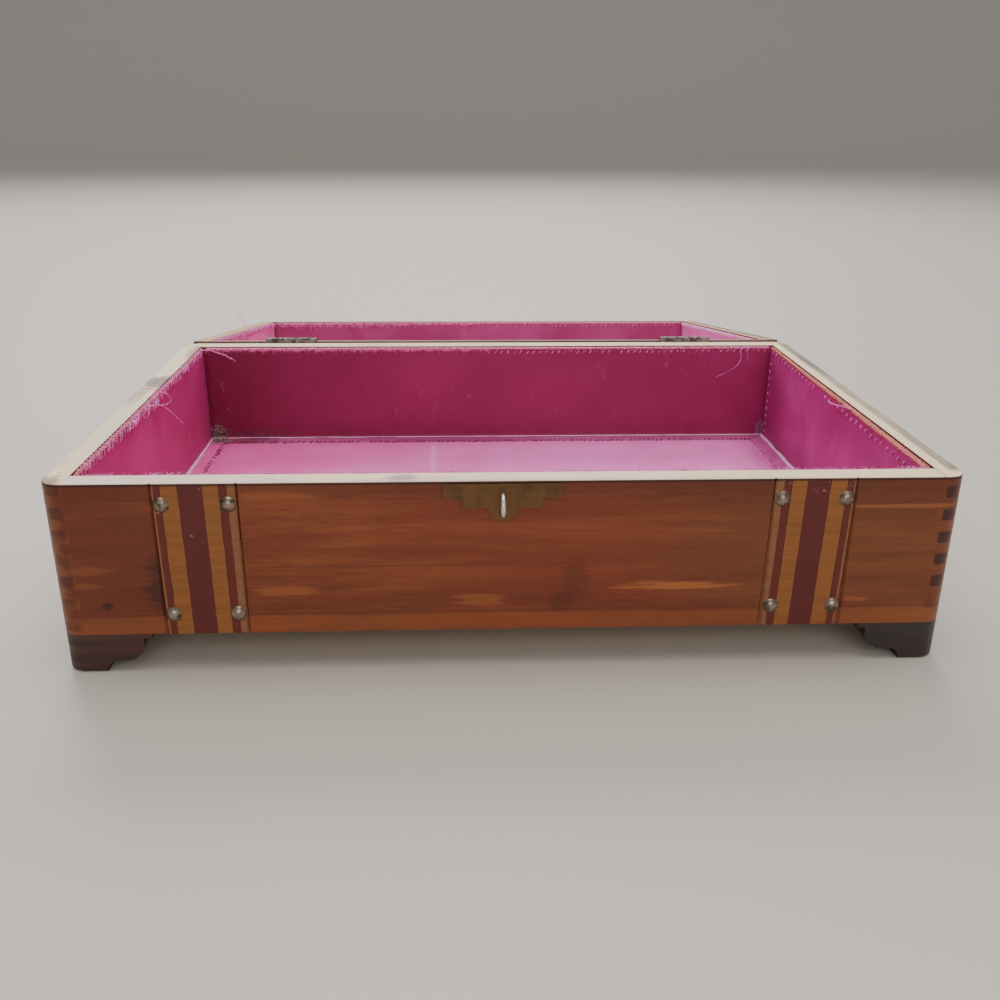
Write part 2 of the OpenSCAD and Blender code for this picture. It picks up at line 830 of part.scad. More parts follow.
// A slotted tongue that drops over the staple
module hasp_tongue() {
    color("goldenrod") on_tongue() difference() {
        union() {
            for (s = hasp_middle) {
                translate([s[0], 0, 0]) rotate([0, 90, 0]) cylinder(h = s[1], d = hasp_knuckle_d);
                translate([s[0], -plate_t / 2, -hasp_knuckle_d]) cube([s[1], plate_t, hasp_knuckle_d]);
            }
            translate([0, plate_t / 2, 0]) rotate([90, 0, 0]) linear_extrude(plate_t) {
                translate([-tab_w / 2, -tongue_l + tab_w / 2]) {
                    square([tab_w, tongue_l - tab_w / 2 - hasp_knuckle_d / 2 - side_clear]);
                }
                translate([0, -tongue_l + tab_w / 2]) circle(d = tab_w);
            }
        }
        translate([-tab_w, 0, 0]) rotate([0, 90, 0]) {
            cylinder(h = 2 * tab_w, d = hasp_pin_d + 2 * run_clear, $fn = 32);
        }
        translate([0, plate_t, 0]) rotate([90, 0, 0]) linear_extrude(2 * plate_t) {
            translate([-slot_w / 2, -slot_end + slot_w / 2]) {
                square([slot_w, slot_end - slot_start - slot_w]);
            }
            translate([0, -slot_end + slot_w / 2]) circle(d = slot_w);
            translate([0, -slot_start - slot_w / 2]) circle(d = slot_w);
        }
    }
}

front_wall();
back_wall();
left_wall();
right_wall();
base_panel();
front_left_foot();
front_right_foot();
back_left_foot();
back_right_foot();
foot_brads();
band_tacks();
strike_plate();
staple();
floor_lining();
front_lining();
back_lining();
left_lining();
right_lining();
left_hinge_case_leaf();
right_hinge_case_leaf();
left_hinge_pin();
right_hinge_pin();
case_hinge_screws();
lid_panel();
lid_front_rail();
lid_back_rail();
lid_left_rail();
lid_right_rail();
lid_panel_lining();
lid_front_lining();
lid_back_lining();
lid_left_lining();
lid_right_lining();
left_hinge_lid_leaf();
right_hinge_lid_leaf();
lid_hinge_screws();
lid_tacks();
hasp_plate();
hasp_pin();
hasp_nails();
hasp_tongue();
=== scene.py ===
"""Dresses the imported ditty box: stained cedar, painted bands, worn metal and a frayed satin lining."""

import json
import math
import random
from collections import namedtuple

import bpy
from mathutils import Matrix, Vector, noise


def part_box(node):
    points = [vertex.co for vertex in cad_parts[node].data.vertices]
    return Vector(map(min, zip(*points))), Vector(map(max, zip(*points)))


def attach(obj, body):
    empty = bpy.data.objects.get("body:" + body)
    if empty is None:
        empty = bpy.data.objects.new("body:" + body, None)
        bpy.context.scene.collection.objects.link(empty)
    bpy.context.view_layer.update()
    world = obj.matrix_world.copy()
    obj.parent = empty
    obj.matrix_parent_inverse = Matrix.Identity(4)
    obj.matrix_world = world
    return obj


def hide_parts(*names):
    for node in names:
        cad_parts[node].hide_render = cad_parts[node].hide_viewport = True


MM = 0.001
RNG = random.Random(11)

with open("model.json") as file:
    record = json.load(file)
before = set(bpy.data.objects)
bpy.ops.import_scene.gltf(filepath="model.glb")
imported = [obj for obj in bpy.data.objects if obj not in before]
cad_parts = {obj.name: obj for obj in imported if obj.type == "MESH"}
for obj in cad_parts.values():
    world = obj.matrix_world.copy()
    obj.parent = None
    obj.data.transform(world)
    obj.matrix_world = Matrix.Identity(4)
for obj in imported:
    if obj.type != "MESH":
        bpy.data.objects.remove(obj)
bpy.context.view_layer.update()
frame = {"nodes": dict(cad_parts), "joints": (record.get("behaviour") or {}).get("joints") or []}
nodes = frame["nodes"]
joint = next(j for j in frame["joints"] if j["name"] == "lid_hinge")
HINGE = Vector(joint["pos_m"])
OPEN_TURN = math.radians(joint["range_deg"][1])

# Sizes read from the frame, in millimetres
front_lo, front_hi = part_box("front_wall")
base_lo, base_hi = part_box("base_panel")
pad_lo, pad_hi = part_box("floor_lining")
lining_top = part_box("back_lining")[1].z
tack_lo, tack_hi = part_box("band_tacks")
FRONT_Y = front_lo.y / MM
BACK_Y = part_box("left_wall")[1].y / MM
RIM_Z = front_hi.z / MM
HALF_W = front_hi.x / MM
WALL_T = (front_hi.y - front_lo.y) / MM
WALL_LOW = front_lo.z / MM
TRAY_W = (base_hi.x - base_lo.x) / MM
TRAY_D = (base_hi.y - base_lo.y) / MM
PAD_T = (pad_hi.z - pad_lo.z) / MM
CASE_TRAY_H = (lining_top - pad_lo.z) / MM

# The painted bands lie between the tacks: half a pair's spacing, a tack head's radius, a band's width
HALF_TACK_GAP = 10.8
TACK_R = 2.7
BAND_W = 27.5
LEFT_BAND_X = tack_lo.x / MM + HALF_TACK_GAP + TACK_R
RIGHT_BAND_X = tack_hi.x / MM - HALF_TACK_GAP - TACK_R


def turned(point, angle):
    """A point in metres turned about the hinge: OPEN_TURN shuts a point of the lid, -OPEN_TURN opens it."""
    return HINGE + Matrix.Rotation(angle, 3, "X") @ (Vector(point) - HINGE)


def shut_box(name):
    """Lowest and highest corners of a lid node when the lid is shut, in millimetres."""
    points = [turned(v.co, OPEN_TURN) / MM for v in nodes[name].data.vertices]
    low = Vector([min(p[i] for p in points) for i in range(3)])
    high = Vector([max(p[i] for p in points) for i in range(3)])
    return low, high


LID_RIM_Z = shut_box("lid_left_rail")[0].z
LID_PANEL_Z = shut_box("lid_panel")[0].z
LID_TRAY_H = shut_box("lid_back_lining")[1].z - shut_box("lid_back_lining")[0].z + PAD_T


# Camera
CAMERA_AT = Vector((-18.63, -308.12 + FRONT_Y, 183.74)) * MM
CAMERA_YAW = 0.0478
CAMERA_PITCH = 0.3752
CAMERA_ROLL = 0.0078
FOCAL_PX = 1011.3
PHOTO_PX = 1000.0
SENSOR_MM = 36.0


def make_camera():
    data = bpy.data.cameras.new("camera")
    data.sensor_width = SENSOR_MM
    data.lens = SENSOR_MM * FOCAL_PX / PHOTO_PX
    data.clip_start = 0.01
    cam = bpy.data.objects.new("camera", data)
    bpy.context.scene.collection.objects.link(cam)
    turns = ((-CAMERA_YAW, "Z"), (math.pi / 2 - CAMERA_PITCH, "X"), (CAMERA_ROLL, "Z"))
    cam.matrix_world = Matrix.Translation(CAMERA_AT)
    for angle, axis in turns:
        cam.matrix_world = cam.matrix_world @ Matrix.Rotation(angle, 4, axis)
    bpy.context.scene.camera = cam


# Materials
class Paint:
    """One material's node tree, with short calls for the nodes that this scene uses."""

    def __init__(self, name):
        self.mat = bpy.data.materials.new(name)
        self.mat.use_nodes = True
        self.tree = self.mat.node_tree
        self.bsdf = self.tree.nodes["Principled BSDF"]

    def node(self, kind, **props):
        made = self.tree.nodes.new(kind)
        for key, value in props.items():
            setattr(made, key, value)
        return made

    def put(self, socket, value):
        if isinstance(value, bpy.types.NodeSocket):
            self.tree.links.new(value, socket)
        else:
            socket.default_value = value

    def set(self, name, value):
        self.put(self.bsdf.inputs[name], value)

    def fill(self, made, **sockets):
        """Sets a node's inputs: an underscore in a name stands for a space."""
        for key, value in sockets.items():
            self.put(made.inputs[key.replace("_", " ")], value)
        return made

    def place(self, turn=0.0, about=None):
        """The object's own coordinates, in metres, turned about X through a point."""
        coords = self.node("ShaderNodeTexCoord").outputs["Object"]
        if turn:
            move = about - Matrix.Rotation(turn, 3, "X") @ about
            coords = self.mapped(coords, Rotation=(turn, 0, 0), Location=move)
        return coords

    def mapped(self, vector, **how):
        return self.fill(self.node("ShaderNodeMapping"), Vector=vector, **how).outputs["Vector"]

    def parts(self, vector):
        split = self.node("ShaderNodeSeparateXYZ")
        self.put(split.inputs[0], vector)
        return split.outputs

    def math(self, operation, *values, kind="ShaderNodeMath"):
        made = self.node(kind, operation=operation)
        for socket, value in zip(made.inputs, values):
            self.put(socket, value)
        return made.outputs[0]

    def vector(self, operation, *values):
        return self.math(operation, *values, kind="ShaderNodeVectorMath")

    def noise(self, vector, scale, detail=3.0, rough=0.55, warp=0.0):
        """Soft noise, with one scale or with a scale for each axis."""
        if isinstance(scale, tuple):
            vector, scale = self.mapped(vector, Scale=scale), 1.0
        made = self.node("ShaderNodeTexNoise")
        self.fill(made, Vector=vector, Scale=scale, Detail=detail, Roughness=rough, Distortion=warp)
        return made.outputs["Fac"]

    def ease(self, value, low, high, to_low=0.0, to_high=1.0):
        made = self.node("ShaderNodeMapRange", interpolation_type="SMOOTHSTEP")
        self.fill(made, Value=value, From_Min=low, From_Max=high, To_Min=to_low, To_Max=to_high)
        return made.outputs["Result"]

    def mix(self, factor, a, b):
        made = self.node("ShaderNodeMix", data_type="RGBA")
        for key, value in (("Factor", factor), ("A", solid(a)), ("B", solid(b))):
            self.put(made.inputs[key], value)
        return made.outputs["Result"]

    def ramp(self, factor, stops, how="LINEAR"):
        made = self.fill(self.node("ShaderNodeValToRGB"), Fac=factor)
        made.color_ramp.interpolation = how
        while len(made.color_ramp.elements) < len(stops):
            made.color_ramp.elements.new(0.5)
        for element, (at, colour) in zip(made.color_ramp.elements, stops):
            element.position = at
        for element, (at, colour) in zip(made.color_ramp.elements, stops):
            element.color = solid(colour)
        return made.outputs["Color"]

    def spot(self, coords, at, size, ragged):
        """One in an ellipse round a point, falling to zero at its ragged edge, on two axes."""
        moved = self.vector("SUBTRACT", coords, [v * MM for v in at])
        shrunk = self.vector("MULTIPLY", moved, [1 / (v * MM) if v else 0.0 for v in size])
        length = self.node("ShaderNodeVectorMath", operation="LENGTH")
        self.put(length.inputs[0], shrunk)
        return self.ease(self.math("ADD", length.outputs["Value"], ragged), 0.6, 1.4, 1.0, 0.0)

    def bump(self, height, depth_mm, strength):
        made = self.node("ShaderNodeBump")
        return self.fill(made, Height=height, Distance=depth_mm * MM, Strength=strength).outputs["Normal"]


def solid(colour):
    if isinstance(colour, tuple) and len(colour) == 3:
        return (*colour, 1.0)
    return colour


def srgb(r, g, b):
    """A colour given in 0 to 255, as the shaders' linear values."""
    def linear(v):
        v /= 255
        return v / 12.92 if v <= 0.04045 else ((v + 0.055) / 1.055) ** 2.4
    return (linear(r), linear(g), linear(b))


# Painted stripes from a band's outer edge to its inner one: where each starts, and its colour
TAN = srgb(136, 90, 60)
MAROON = srgb(100, 36, 30)
DEEP_MAROON = srgb(92, 34, 34)
OCHRE = srgb(143, 88, 44)
LINE = srgb(50, 22, 16)
STRIPES = [
    (0.0, LINE), (0.15, TAN), (0.95, MAROON), (3.0, LINE), (3.15, OCHRE), (8.7, DEEP_MAROON),
    (16.7, OCHRE), (21.8, LINE), (21.95, MAROON), (24.5, TAN), (27.2, LINE),
]
# How far a band's stripes shift toward the middle for each millimetre below the rim
LEFT_LEAN = 0.008
RIGHT_LEAN = 0.0195

CEDAR = srgb(120, 59, 34)
CEDAR_DARK = srgb(92, 42, 26)
CEDAR_LIGHT = srgb(150, 84, 46)
CEDAR_RED = srgb(124, 53, 32)
PORE = srgb(66, 30, 20)
BARE = srgb(255, 228, 192)
BARE_TAN = srgb(184, 136, 108)
# Painted shade for the rounded outer edge of the right rim
RIM_ARRIS_SHADE = srgb(120, 108, 98)
END_GRAIN = srgb(58, 32, 28)


def wood(name, along, bands=False, on_lid=False, spots=(), rim_spots=()):
    """Stained and varnished cedar with its grain along "X" or "Y", bare on the rim."""
    p = Paint(name)
    coords = p.place(turn=OPEN_TURN if on_lid else 0.0, about=HINGE)
    x, y, z = p.parts(coords)
    grain = p.node("ShaderNodeCombineXYZ")
    for socket, value in zip(grain.inputs, (x, y, z) if along == "X" else (y, x, z)):
        p.put(socket, value)
    grain_at = grain.outputs[0]
    drift = p.noise(grain_at, (7, 30, 14), 2.0)
    bent = p.vector("MULTIPLY_ADD", drift, (0, 0.012, 0.012), grain_at)
    figure = p.noise(bent, (9, 110, 110), 4.0, 0.6, 0.3)
    lines = p.noise(bent, (22, 620, 620), 3.0, 0.6)
    pores = p.noise(bent, (260, 2600, 2600), 2.0, 0.5)
    fibre = p.noise(grain_at, (110, 3600, 3600), 2.0, 0.6)
    broad = p.noise(grain_at, (6, 22, 30), 2.0)
    stain = p.ramp(figure, [(0.3, CEDAR_DARK), (0.52, CEDAR), (0.74, CEDAR_LIGHT)])
    stain = p.mix(p.ease(broad, 0.42, 0.68, 0.0, 0.5), stain, CEDAR_RED)
    stain = p.mix(p.ease(lines, 0.48, 0.66, 0.0, 0.3), stain, CEDAR_DARK)
    stain = p.mix(p.ease(pores, 0.58, 0.7, 0.0, 0.4), stain, PORE)
    stain = p.mix(p.ease(fibre, 0.4, 0.7, 0.0, 0.2), stain, CEDAR_LIGHT)
    frayed = p.noise(grain_at, (50, 700, 700), 4.0, 0.65)
    ragged = p.math("MULTIPLY_ADD", frayed, 2.4, -1.2)
    stain = put_spots(p, stain, coords, spots, ragged)
    if bands:
        stain = put_bands(p, stain, x, z, lines, pores, grain_at)
    speckle = p.noise(coords, 1300.0, 3.0, 0.7)
    cut = p.mix(p.ease(speckle, 0.35, 0.7, 0.0, 0.35), END_GRAIN, CEDAR_DARK)
    stain = p.mix(end_grain_mask(p, x, y, z, along), stain, cut)
    # Painted shade: a dark line just below the rim
    stain = p.mix(under_rim_shade_mask(p, z, on_lid), stain, LINE)
    rim = rim_mask(p, y, z, on_lid)
    grey = p.noise(grain_at, (24, 90, 90), 4.0, 0.6, 0.5)
    bare = p.mix(p.ease(grey, 0.52, 0.68, 0.0, 0.45), BARE, srgb(206, 180, 154))
    bare = p.mix(p.ease(lines, 0.5, 0.72, 0.0, 0.35), bare, srgb(222, 186, 146))
    bare = p.mix(p.ease(speckle, 0.5, 0.72, 0.0, 0.3), bare, srgb(204, 172, 138))
    if on_lid:
        bare = p.mix(0.75, bare, BARE_TAN)
    # Painted shade: the outer part of the right rim, where it rounds over away from the light, is greyed
    outer = p.math("MULTIPLY", p.ease(x, 147.4 * MM, 149.2 * MM), p.ease(grey, 0.3, 0.6, 0.65, 0.95))
    behind = p.ease(y, (FRONT_Y + 3) * MM, (FRONT_Y + 9) * MM)
    bare = p.mix(p.math("MULTIPLY", outer, behind), bare, RIM_ARRIS_SHADE)
    bare = p.mix(joint_mask(p, x, y, along), bare, LINE)
    bare = put_spots(p, bare, coords, rim_spots, ragged)
    p.set("Base Color", p.mix(rim, stain, bare))
    gloss = p.ease(lines, 0.3, 0.7, 0.3, 0.44)
    p.set("Roughness", p.math("MULTIPLY_ADD", rim, 0.3, gloss))
    p.set("Specular IOR Level", 0.32)
    height = p.math("MULTIPLY_ADD", pores, -0.5, lines)
    p.set("Normal", p.bump(height, 0.1, 0.6))
    return p.mat


def put_spots(p, under, coords, spots, ragged):
    """Lays ragged ellipses of colour over a wood: each has its place, size, colour and strength."""
    for at, size, colour, strength in spots:
        inside = p.math("MULTIPLY", p.spot(coords, at, size, ragged), strength)
        under = p.mix(inside, under, colour)
    return under


def put_bands(p, stain, x, z, lines, pores, grain_at):
    """Lays both striped bands over the wood, with worn flecks and a dark scored line inside each."""
    below_rim = p.math("SUBTRACT", RIM_Z * MM, z)
    for side, middle, lean in ((-1, LEFT_BAND_X, LEFT_LEAN), (1, RIGHT_BAND_X, RIGHT_LEAN)):
        from_edge = p.math("MULTIPLY_ADD", x, -side, (abs(middle) + BAND_W / 2) * MM)
        from_edge = p.math("MULTIPLY_ADD", below_rim, -lean, from_edge)
        wobble = p.noise(grain_at, (300, 160, 160), 3.0)
        from_edge = p.math("MULTIPLY_ADD", p.math("SUBTRACT", wobble, 0.5), 0.5 * MM, from_edge)
        share = p.math("DIVIDE", from_edge, BAND_W * MM)
        paint = p.ramp(share, [(at / BAND_W, colour) for at, colour in STRIPES], "CONSTANT")
        paint = p.mix(p.ease(lines, 0.42, 0.66, 0.0, 0.22), paint, CEDAR_DARK)
        paint = p.mix(p.ease(pores, 0.58, 0.7, 0.0, 0.22), paint, PORE)
        flecks = p.noise(grain_at, (520, 520, 520), 4.0, 0.7)
        worn = p.ease(z, 56 * MM, 68 * MM, 0.0, 0.07 if side > 0 else 0.02)
        chip = p.ease(p.math("ADD", flecks, worn), 0.685, 0.72, 0.0, 0.7)
        paint = p.mix(chip, paint, srgb(186, 132, 104))
        inside = p.math("MULTIPLY", p.math("GREATER_THAN", share, 0.0), p.math("LESS_THAN", share, 1.004))
        stain = p.mix(inside, stain, paint)
    return stain


def from_middle(p, y):
    """Distance from the case's middle along Y."""
    return p.math("ABSOLUTE", p.math("SUBTRACT", y, (FRONT_Y + BACK_Y) / 2 * MM))


def joint_mask(p, x, y, along):
    """Thin dark lines where the boards' fingers meet."""
    if along == "X":
        off = p.math("ABSOLUTE", p.math("SUBTRACT", p.math("ABSOLUTE", x), (HALF_W - WALL_T) * MM))
    else:
        inner = ((BACK_Y - FRONT_Y) / 2 - WALL_T) * MM
        off = p.math("ABSOLUTE", p.math("SUBTRACT", from_middle(p, y), inner))
    return p.ease(off, 0.1 * MM, 0.3 * MM, 0.7, 0.0)


def end_grain_mask(p, x, y, z, along):
    """Where a board's cut ends show, dark on the right, fainter on the left and at the lowest finger."""
    deep = 1.3 * MM
    if along == "X":
        return p.ease(p.math("ABSOLUTE", x), HALF_W * MM - 1.4 * deep, HALF_W * MM - deep)
    half_d = (BACK_Y - FRONT_Y) / 2 * MM
    cut = p.ease(from_middle(p, y), half_d - 1.4 * deep, half_d - deep)
    cut = p.math("MULTIPLY", cut, p.ease(z, 24 * MM, 27 * MM, 0.15, 1.0))
    inner = p.ease(p.math("ABSOLUTE", x), (HALF_W - WALL_T + 0.6) * MM, (HALF_W - WALL_T + 1.1) * MM)
    return p.math("MULTIPLY", p.math("MULTIPLY", cut, inner), p.ease(x, -0.01, 0.01, 0.5, 0.95))


def under_rim_shade_mask(p, z, on_lid):
    """A painted shade line: dark in the stain just beside the bare rim, where its edge throws shade."""
    if on_lid:
        return p.ease(z, (LID_RIM_Z + 0.8) * MM, (LID_RIM_Z + 1.3) * MM, 0.7, 0.0)
    return p.ease(z, (RIM_Z - 1.3) * MM, (RIM_Z - 0.8) * MM, 0.0, 0.8)


def rim_mask(p, y, z, on_lid):
    """The bare rim, but for the stained outer part of the lid's back rim."""
    if on_lid:
        rim = p.ease(z, (LID_RIM_Z + 0.08) * MM, (LID_RIM_Z + 0.22) * MM, 1.0, 0.0)
        return p.math("MULTIPLY", rim, p.ease(y, (BACK_Y - 5.9) * MM, (BACK_Y - 5.4) * MM, 1.0, 0.0))
    return p.ease(z, (RIM_Z - 0.3) * MM, (RIM_Z - 0.1) * MM)


def foot_wood(name, colour, other):
    p = Paint(name)
    coords = p.place()
    figure = p.noise(coords, (30, 30, 260), 4.0, 0.6)
    fine = p.noise(coords, (300, 300, 1500), 3.0)
    mixed = p.mix(p.ease(figure, 0.3, 0.7), colour, other)
    worn = p.noise(coords, 130.0, 4.0, 0.7)
    p.set("Base Color", p.mix(p.ease(worn, 0.62, 0.75, 0.0, 0.35), mixed, CEDAR))
    p.set("Roughness", p.ease(figure, 0.3, 0.7, 0.34, 0.52))
    p.set("Normal", p.bump(fine, 0.1, 0.5))
    return p.mat


def plain_wood(name):
    p = Paint(name)
    coords = p.place()
    figure = p.noise(coords, (9, 120, 120), 4.0, 0.6)
    p.set("Base Color", p.ramp(figure, [(0.3, srgb(150, 112, 72)), (0.7, srgb(196, 160, 112))]))
    p.set("Roughness", 0.6)
    p.set("Normal", p.bump(figure, 0.1, 0.5))
    return p.mat


def metal(name, base, dirt, rough, patch_scale=260.0, dirt_from=0.5, dirt_to=0.75):
    """Worn metal with darker tarnish in soft patches and fine scratches."""
    p = Paint(name)
    coords = p.place()
    patch = p.noise(coords, patch_scale, 4.0, 0.6)
    fine = p.noise(coords, patch_scale * 9, 3.0, 0.6)
    tarnish = p.math("MULTIPLY_ADD", fine, 0.2, p.ease(patch, dirt_from, dirt_to, 0.0, 0.8))
    p.set("Base Color", p.mix(tarnish, base, dirt))
    p.set("Metallic", p.ease(patch, dirt_from, dirt_to, 1.0, 0.7))
    p.set("Roughness", p.ease(patch, 0.3, 0.7, rough, rough + 0.2))
    p.set("Normal", p.bump(fine, 0.03, 0.5))
    return p.mat


def satin(name, base, light, rough=0.42, across=None, spots=(), gloss=0.16):
    """Magenta satin glued over card: soft gloss, faint rubbed marks and a fine weave.

    across gives two places along X, in millimetres, between which the base turns to the light colour: a
    painted gradient of light and shade across the cloth.
    """
    p = Paint(name)
    coords = p.place()
    cloudy = p.noise(coords, 26.0, 4.0, 0.6, 0.3)
    rubbed = p.noise(coords, (150, 150, 90), 6.0, 0.72, 0.6)
    weave = p.noise(coords, 4200.0, 1.0)
    slub = p.noise(coords, (140, 140, 700), 3.0)
    turn = p.ease(cloudy, 0.35, 0.7)
    # Painted light and shade: the colour turns from base to light along X between the across places
    if across:
        side = p.ease(p.parts(coords)[0], across[0] * MM, across[1] * MM)
        turn = p.math("MULTIPLY_ADD", turn, 0.3, p.math("MULTIPLY", side, 0.7))
    colour = p.mix(turn, base, light)
    colour = p.mix(p.ease(rubbed, 0.6, 0.78, 0.0, 0.3), colour, srgb(236, 170, 208))
    colour = p.mix(p.ease(slub, 0.5, 0.7, 0.0, 0.12), colour, base)
    ragged = p.math("MULTIPLY_ADD", p.noise(coords, 420.0, 4.0, 0.7), 1.6, -0.8)
    speckle = p.noise(coords, 900.0, 3.0, 0.7)
    for at, size, (dark, pale), strength in spots:
        inside = p.math("MULTIPLY", p.spot(coords, at, size, ragged), strength)
        colour = p.mix(inside, colour, p.mix(p.ease(speckle, 0.4, 0.6), dark, pale))
    p.set("Base Color", colour)
    p.set("Roughness", p.ease(cloudy, 0.3, 0.7, rough - 0.05, rough + 0.07))
    p.set("Specular IOR Level", gloss)
    p.set("Sheen Weight", 0.06)
    p.set("Sheen Roughness", 0.4)
    p.set("Sheen Tint", (1.0, 0.6, 0.88, 1.0))
    height = p.math("ADD", p.math("MULTIPLY", weave, 0.25), p.math("MULTIPLY", slub, 0.75))
    p.set("Normal", p.bump(height, 0.08, 0.55))
    return p.mat


def thread_paint(name, colour, other, tint_scale=420.0):
    p = Paint(name)
    coords = p.place()
    tint = p.noise(coords, tint_scale, 3.0, 0.6)
    p.set("Base Color", p.mix(p.ease(tint, 0.35, 0.65), colour, other))
    p.set("Roughness", 0.6)
    p.set("Specular IOR Level", 0.3)
    p.set("Sheen Weight", 0.08)
    p.set("Sheen Tint", (1.0, 0.7, 0.88, 1.0))
    return p.mat


# Meshes
def new_mesh(name, verts, faces, material):
    """A smooth mesh from points in metres."""
    mesh = bpy.data.meshes.new(name)
    mesh.from_pydata([tuple(v) for v in verts], [], faces)
    mesh.update()
    mesh.materials.append(material)
    mesh.polygons.foreach_set("use_smooth", [True] * len(mesh.polygons))
    made = bpy.data.objects.new(name, mesh)
    bpy.context.scene.collection.objects.link(made)
    return made


# The inside of the case or the lid: x to the right, y away from the viewer, z up from its board
Tray = namedtuple("Tray", "body height place prefix")


def in_case(p):
    return Vector((p.x, FRONT_Y + WALL_T + p.y, WALL_LOW + (base_hi.z - base_lo.z) / MM + p.z)) * MM


def in_lid(p):
    return turned(Vector((p.x, BACK_Y - WALL_T - p.y, LID_PANEL_Z - p.z)) * MM, -OPEN_TURN)


CASE_TRAY = Tray("case", CASE_TRAY_H, in_case, "")
LID_TRAY = Tray("lid", LID_TRAY_H, in_lid, "lid_")

# Each wall: where its run starts on the tray's floor plan, which way it runs and which way is inward
WALLS = {
    "near": (Vector((-TRAY_W / 2, 0, 0)), Vector((1, 0, 0)), Vector((0, 1, 0)), TRAY_W),
    "far": (Vector((TRAY_W / 2, TRAY_D, 0)), Vector((-1, 0, 0)), Vector((0, -1, 0)), TRAY_W),
    "left": (Vector((-TRAY_W / 2, TRAY_D, 0)), Vector((0, -1, 0)), Vector((1, 0, 0)), TRAY_D),
    "right": (Vector((TRAY_W / 2, 0, 0)), Vector((0, 1, 0)), Vector((-1, 0, 0)), TRAY_D),
}
SATIN_T = 1.3
COVE_R = 1.7
FLAP_L = 8.0
FLAP_T = 0.5
FACE_FIRST = 9


def wall_profile(height):
    """The lining's section as (inward, up) points, from behind its top edge to the flap on the floor."""
    t = SATIN_T
    edge = t / 2
    points = [(0.05, PAD_T * 0.2), (0.05, height - edge)]
    for i in range(FACE_FIRST - 2):
        a = math.pi * (1 - i / (FACE_FIRST - 3))
        points.append((edge + 0.05 + (edge - 0.05) * math.cos(a), height - edge + edge * math.sin(a)))
    low = PAD_T + COVE_R
    steps = max(4, int((height - edge - low) / 3.0))
    for i in range(1, steps + 1):
        points.append((t, height - edge + (low - height + edge) * i / steps))
    for i in range(1, 7):
        a = math.pi / 2 * i / 6
        points.append((t + COVE_R * (1 - math.cos(a)), low - (COVE_R - FLAP_T) * math.sin(a)))
    points.append((t + COVE_R + (FLAP_L - COVE_R) * 0.6, PAD_T + FLAP_T))
    points.append((t + FLAP_L - 0.3, PAD_T + FLAP_T * 0.9))
    points.append((t + FLAP_L, PAD_T + FLAP_T * 0.3))
    points.append((t + FLAP_L - 0.4, PAD_T - 0.6))
    return points


FLAP_POINTS = 5


def wall_point(tray, wall, along, inward, up):
    start, run, side, length = WALLS[wall]
    return tray.place(start + run * along + side * inward + Vector((0, 0, up)))


def swell(tray, wall, along, up):
    """How far a lining's face stands in from its flat place: padding, and the loose edge at the right."""
    length = WALLS[wall][3]
    seed = {"near": 3.0, "far": 17.0, "left": 29.0, "right": 41.0}[wall]
    rise = min(1.0, max(0.0, up / tray.height))
    middle = math.sin(math.pi * rise) * math.sin(math.pi * min(1.0, max(0.0, along / length))) ** 0.4
    broad = noise.noise(Vector((along / 46, up / 24, seed)))
    small = noise.noise(Vector((along / 13, up / 17, seed + 5)))
    padding = min(0.6, max(-0.1, middle * (0.3 + 0.3 * broad + 0.16 * small)))
    loose = 0.0
    if wall == "right" and tray.body == "case":
        loose = 1.7 * (1 - along / length) ** 1.5 * max(0.0, (rise - 0.75) * 4) ** 1.5
    return padding + loose


def face_in(tray, wall, along, up):
    """Distance of a lining's face from its wall, in millimetres."""
    return SATIN_T + swell(tray, wall, along, up)


def make_wall_lining(tray, wall, node, material, flap_material):
    length = WALLS[wall][3]
    profile = wall_profile(tray.height)
    stations = int(length / 2.6)
    verts, faces = [], []
    n = len(profile)
    for i in range(stations + 1):
        share = i / stations
        for k, (inward, up) in enumerate(profile):
            along = inward + (length - 2 * inward) * share
            on_face = FACE_FIRST <= k < n - FLAP_POINTS
            out = swell(tray, wall, along, up) if on_face or 3 < k < FACE_FIRST else 0.0
            verts.append(wall_point(tray, wall, along, inward + out, up))
    for i in range(stations):
        for k in range(n - 1):
            a = i * n + k
            faces.append((a, a + 1, a + n + 1, a + n))
        faces.append((i * n + n - 1, i * n, i * n + n, i * n + 2 * n - 1))
    faces.append(tuple(range(n - 1, -1, -1)))
    faces.append(tuple(stations * n + k for k in range(n)))
    piece = make_soft(node, verts, faces, material, tray.body)
    piece.data.materials.append(flap_material)
    for i in range(stations):
        for k in range(n - FLAP_POINTS - 1, n):
            piece.data.polygons[i * n + k].material_index = 1


def make_soft(node, verts, faces, material, body):
    """A padded piece that rides on a body in place of a node."""
    piece = new_mesh(node + "_satin", verts, faces, material)
    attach(piece, body)
    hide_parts(node)
    return piece


def floor_swell(x, y):
    """Height of the floor cloth above its card, in millimetres, with soft creases."""
    ex = min(x + TRAY_W / 2, TRAY_W / 2 - x) - SATIN_T
    ey = min(y, TRAY_D - y) - SATIN_T
    edge = min(1.0, max(0.0, (min(ex, ey) - 4) / 12))
    broad = noise.noise(Vector((x / 60, y / 34, 4.0)))
    crease = 1 - abs(noise.noise(Vector((x / 26, y / 48, 9.0)))) * 4
    small = noise.noise(Vector((x / 8, y / 10, 2.0)))
    return edge * (0.35 + 0.35 * broad + 0.2 * max(0.0, crease) + 0.09 * small)


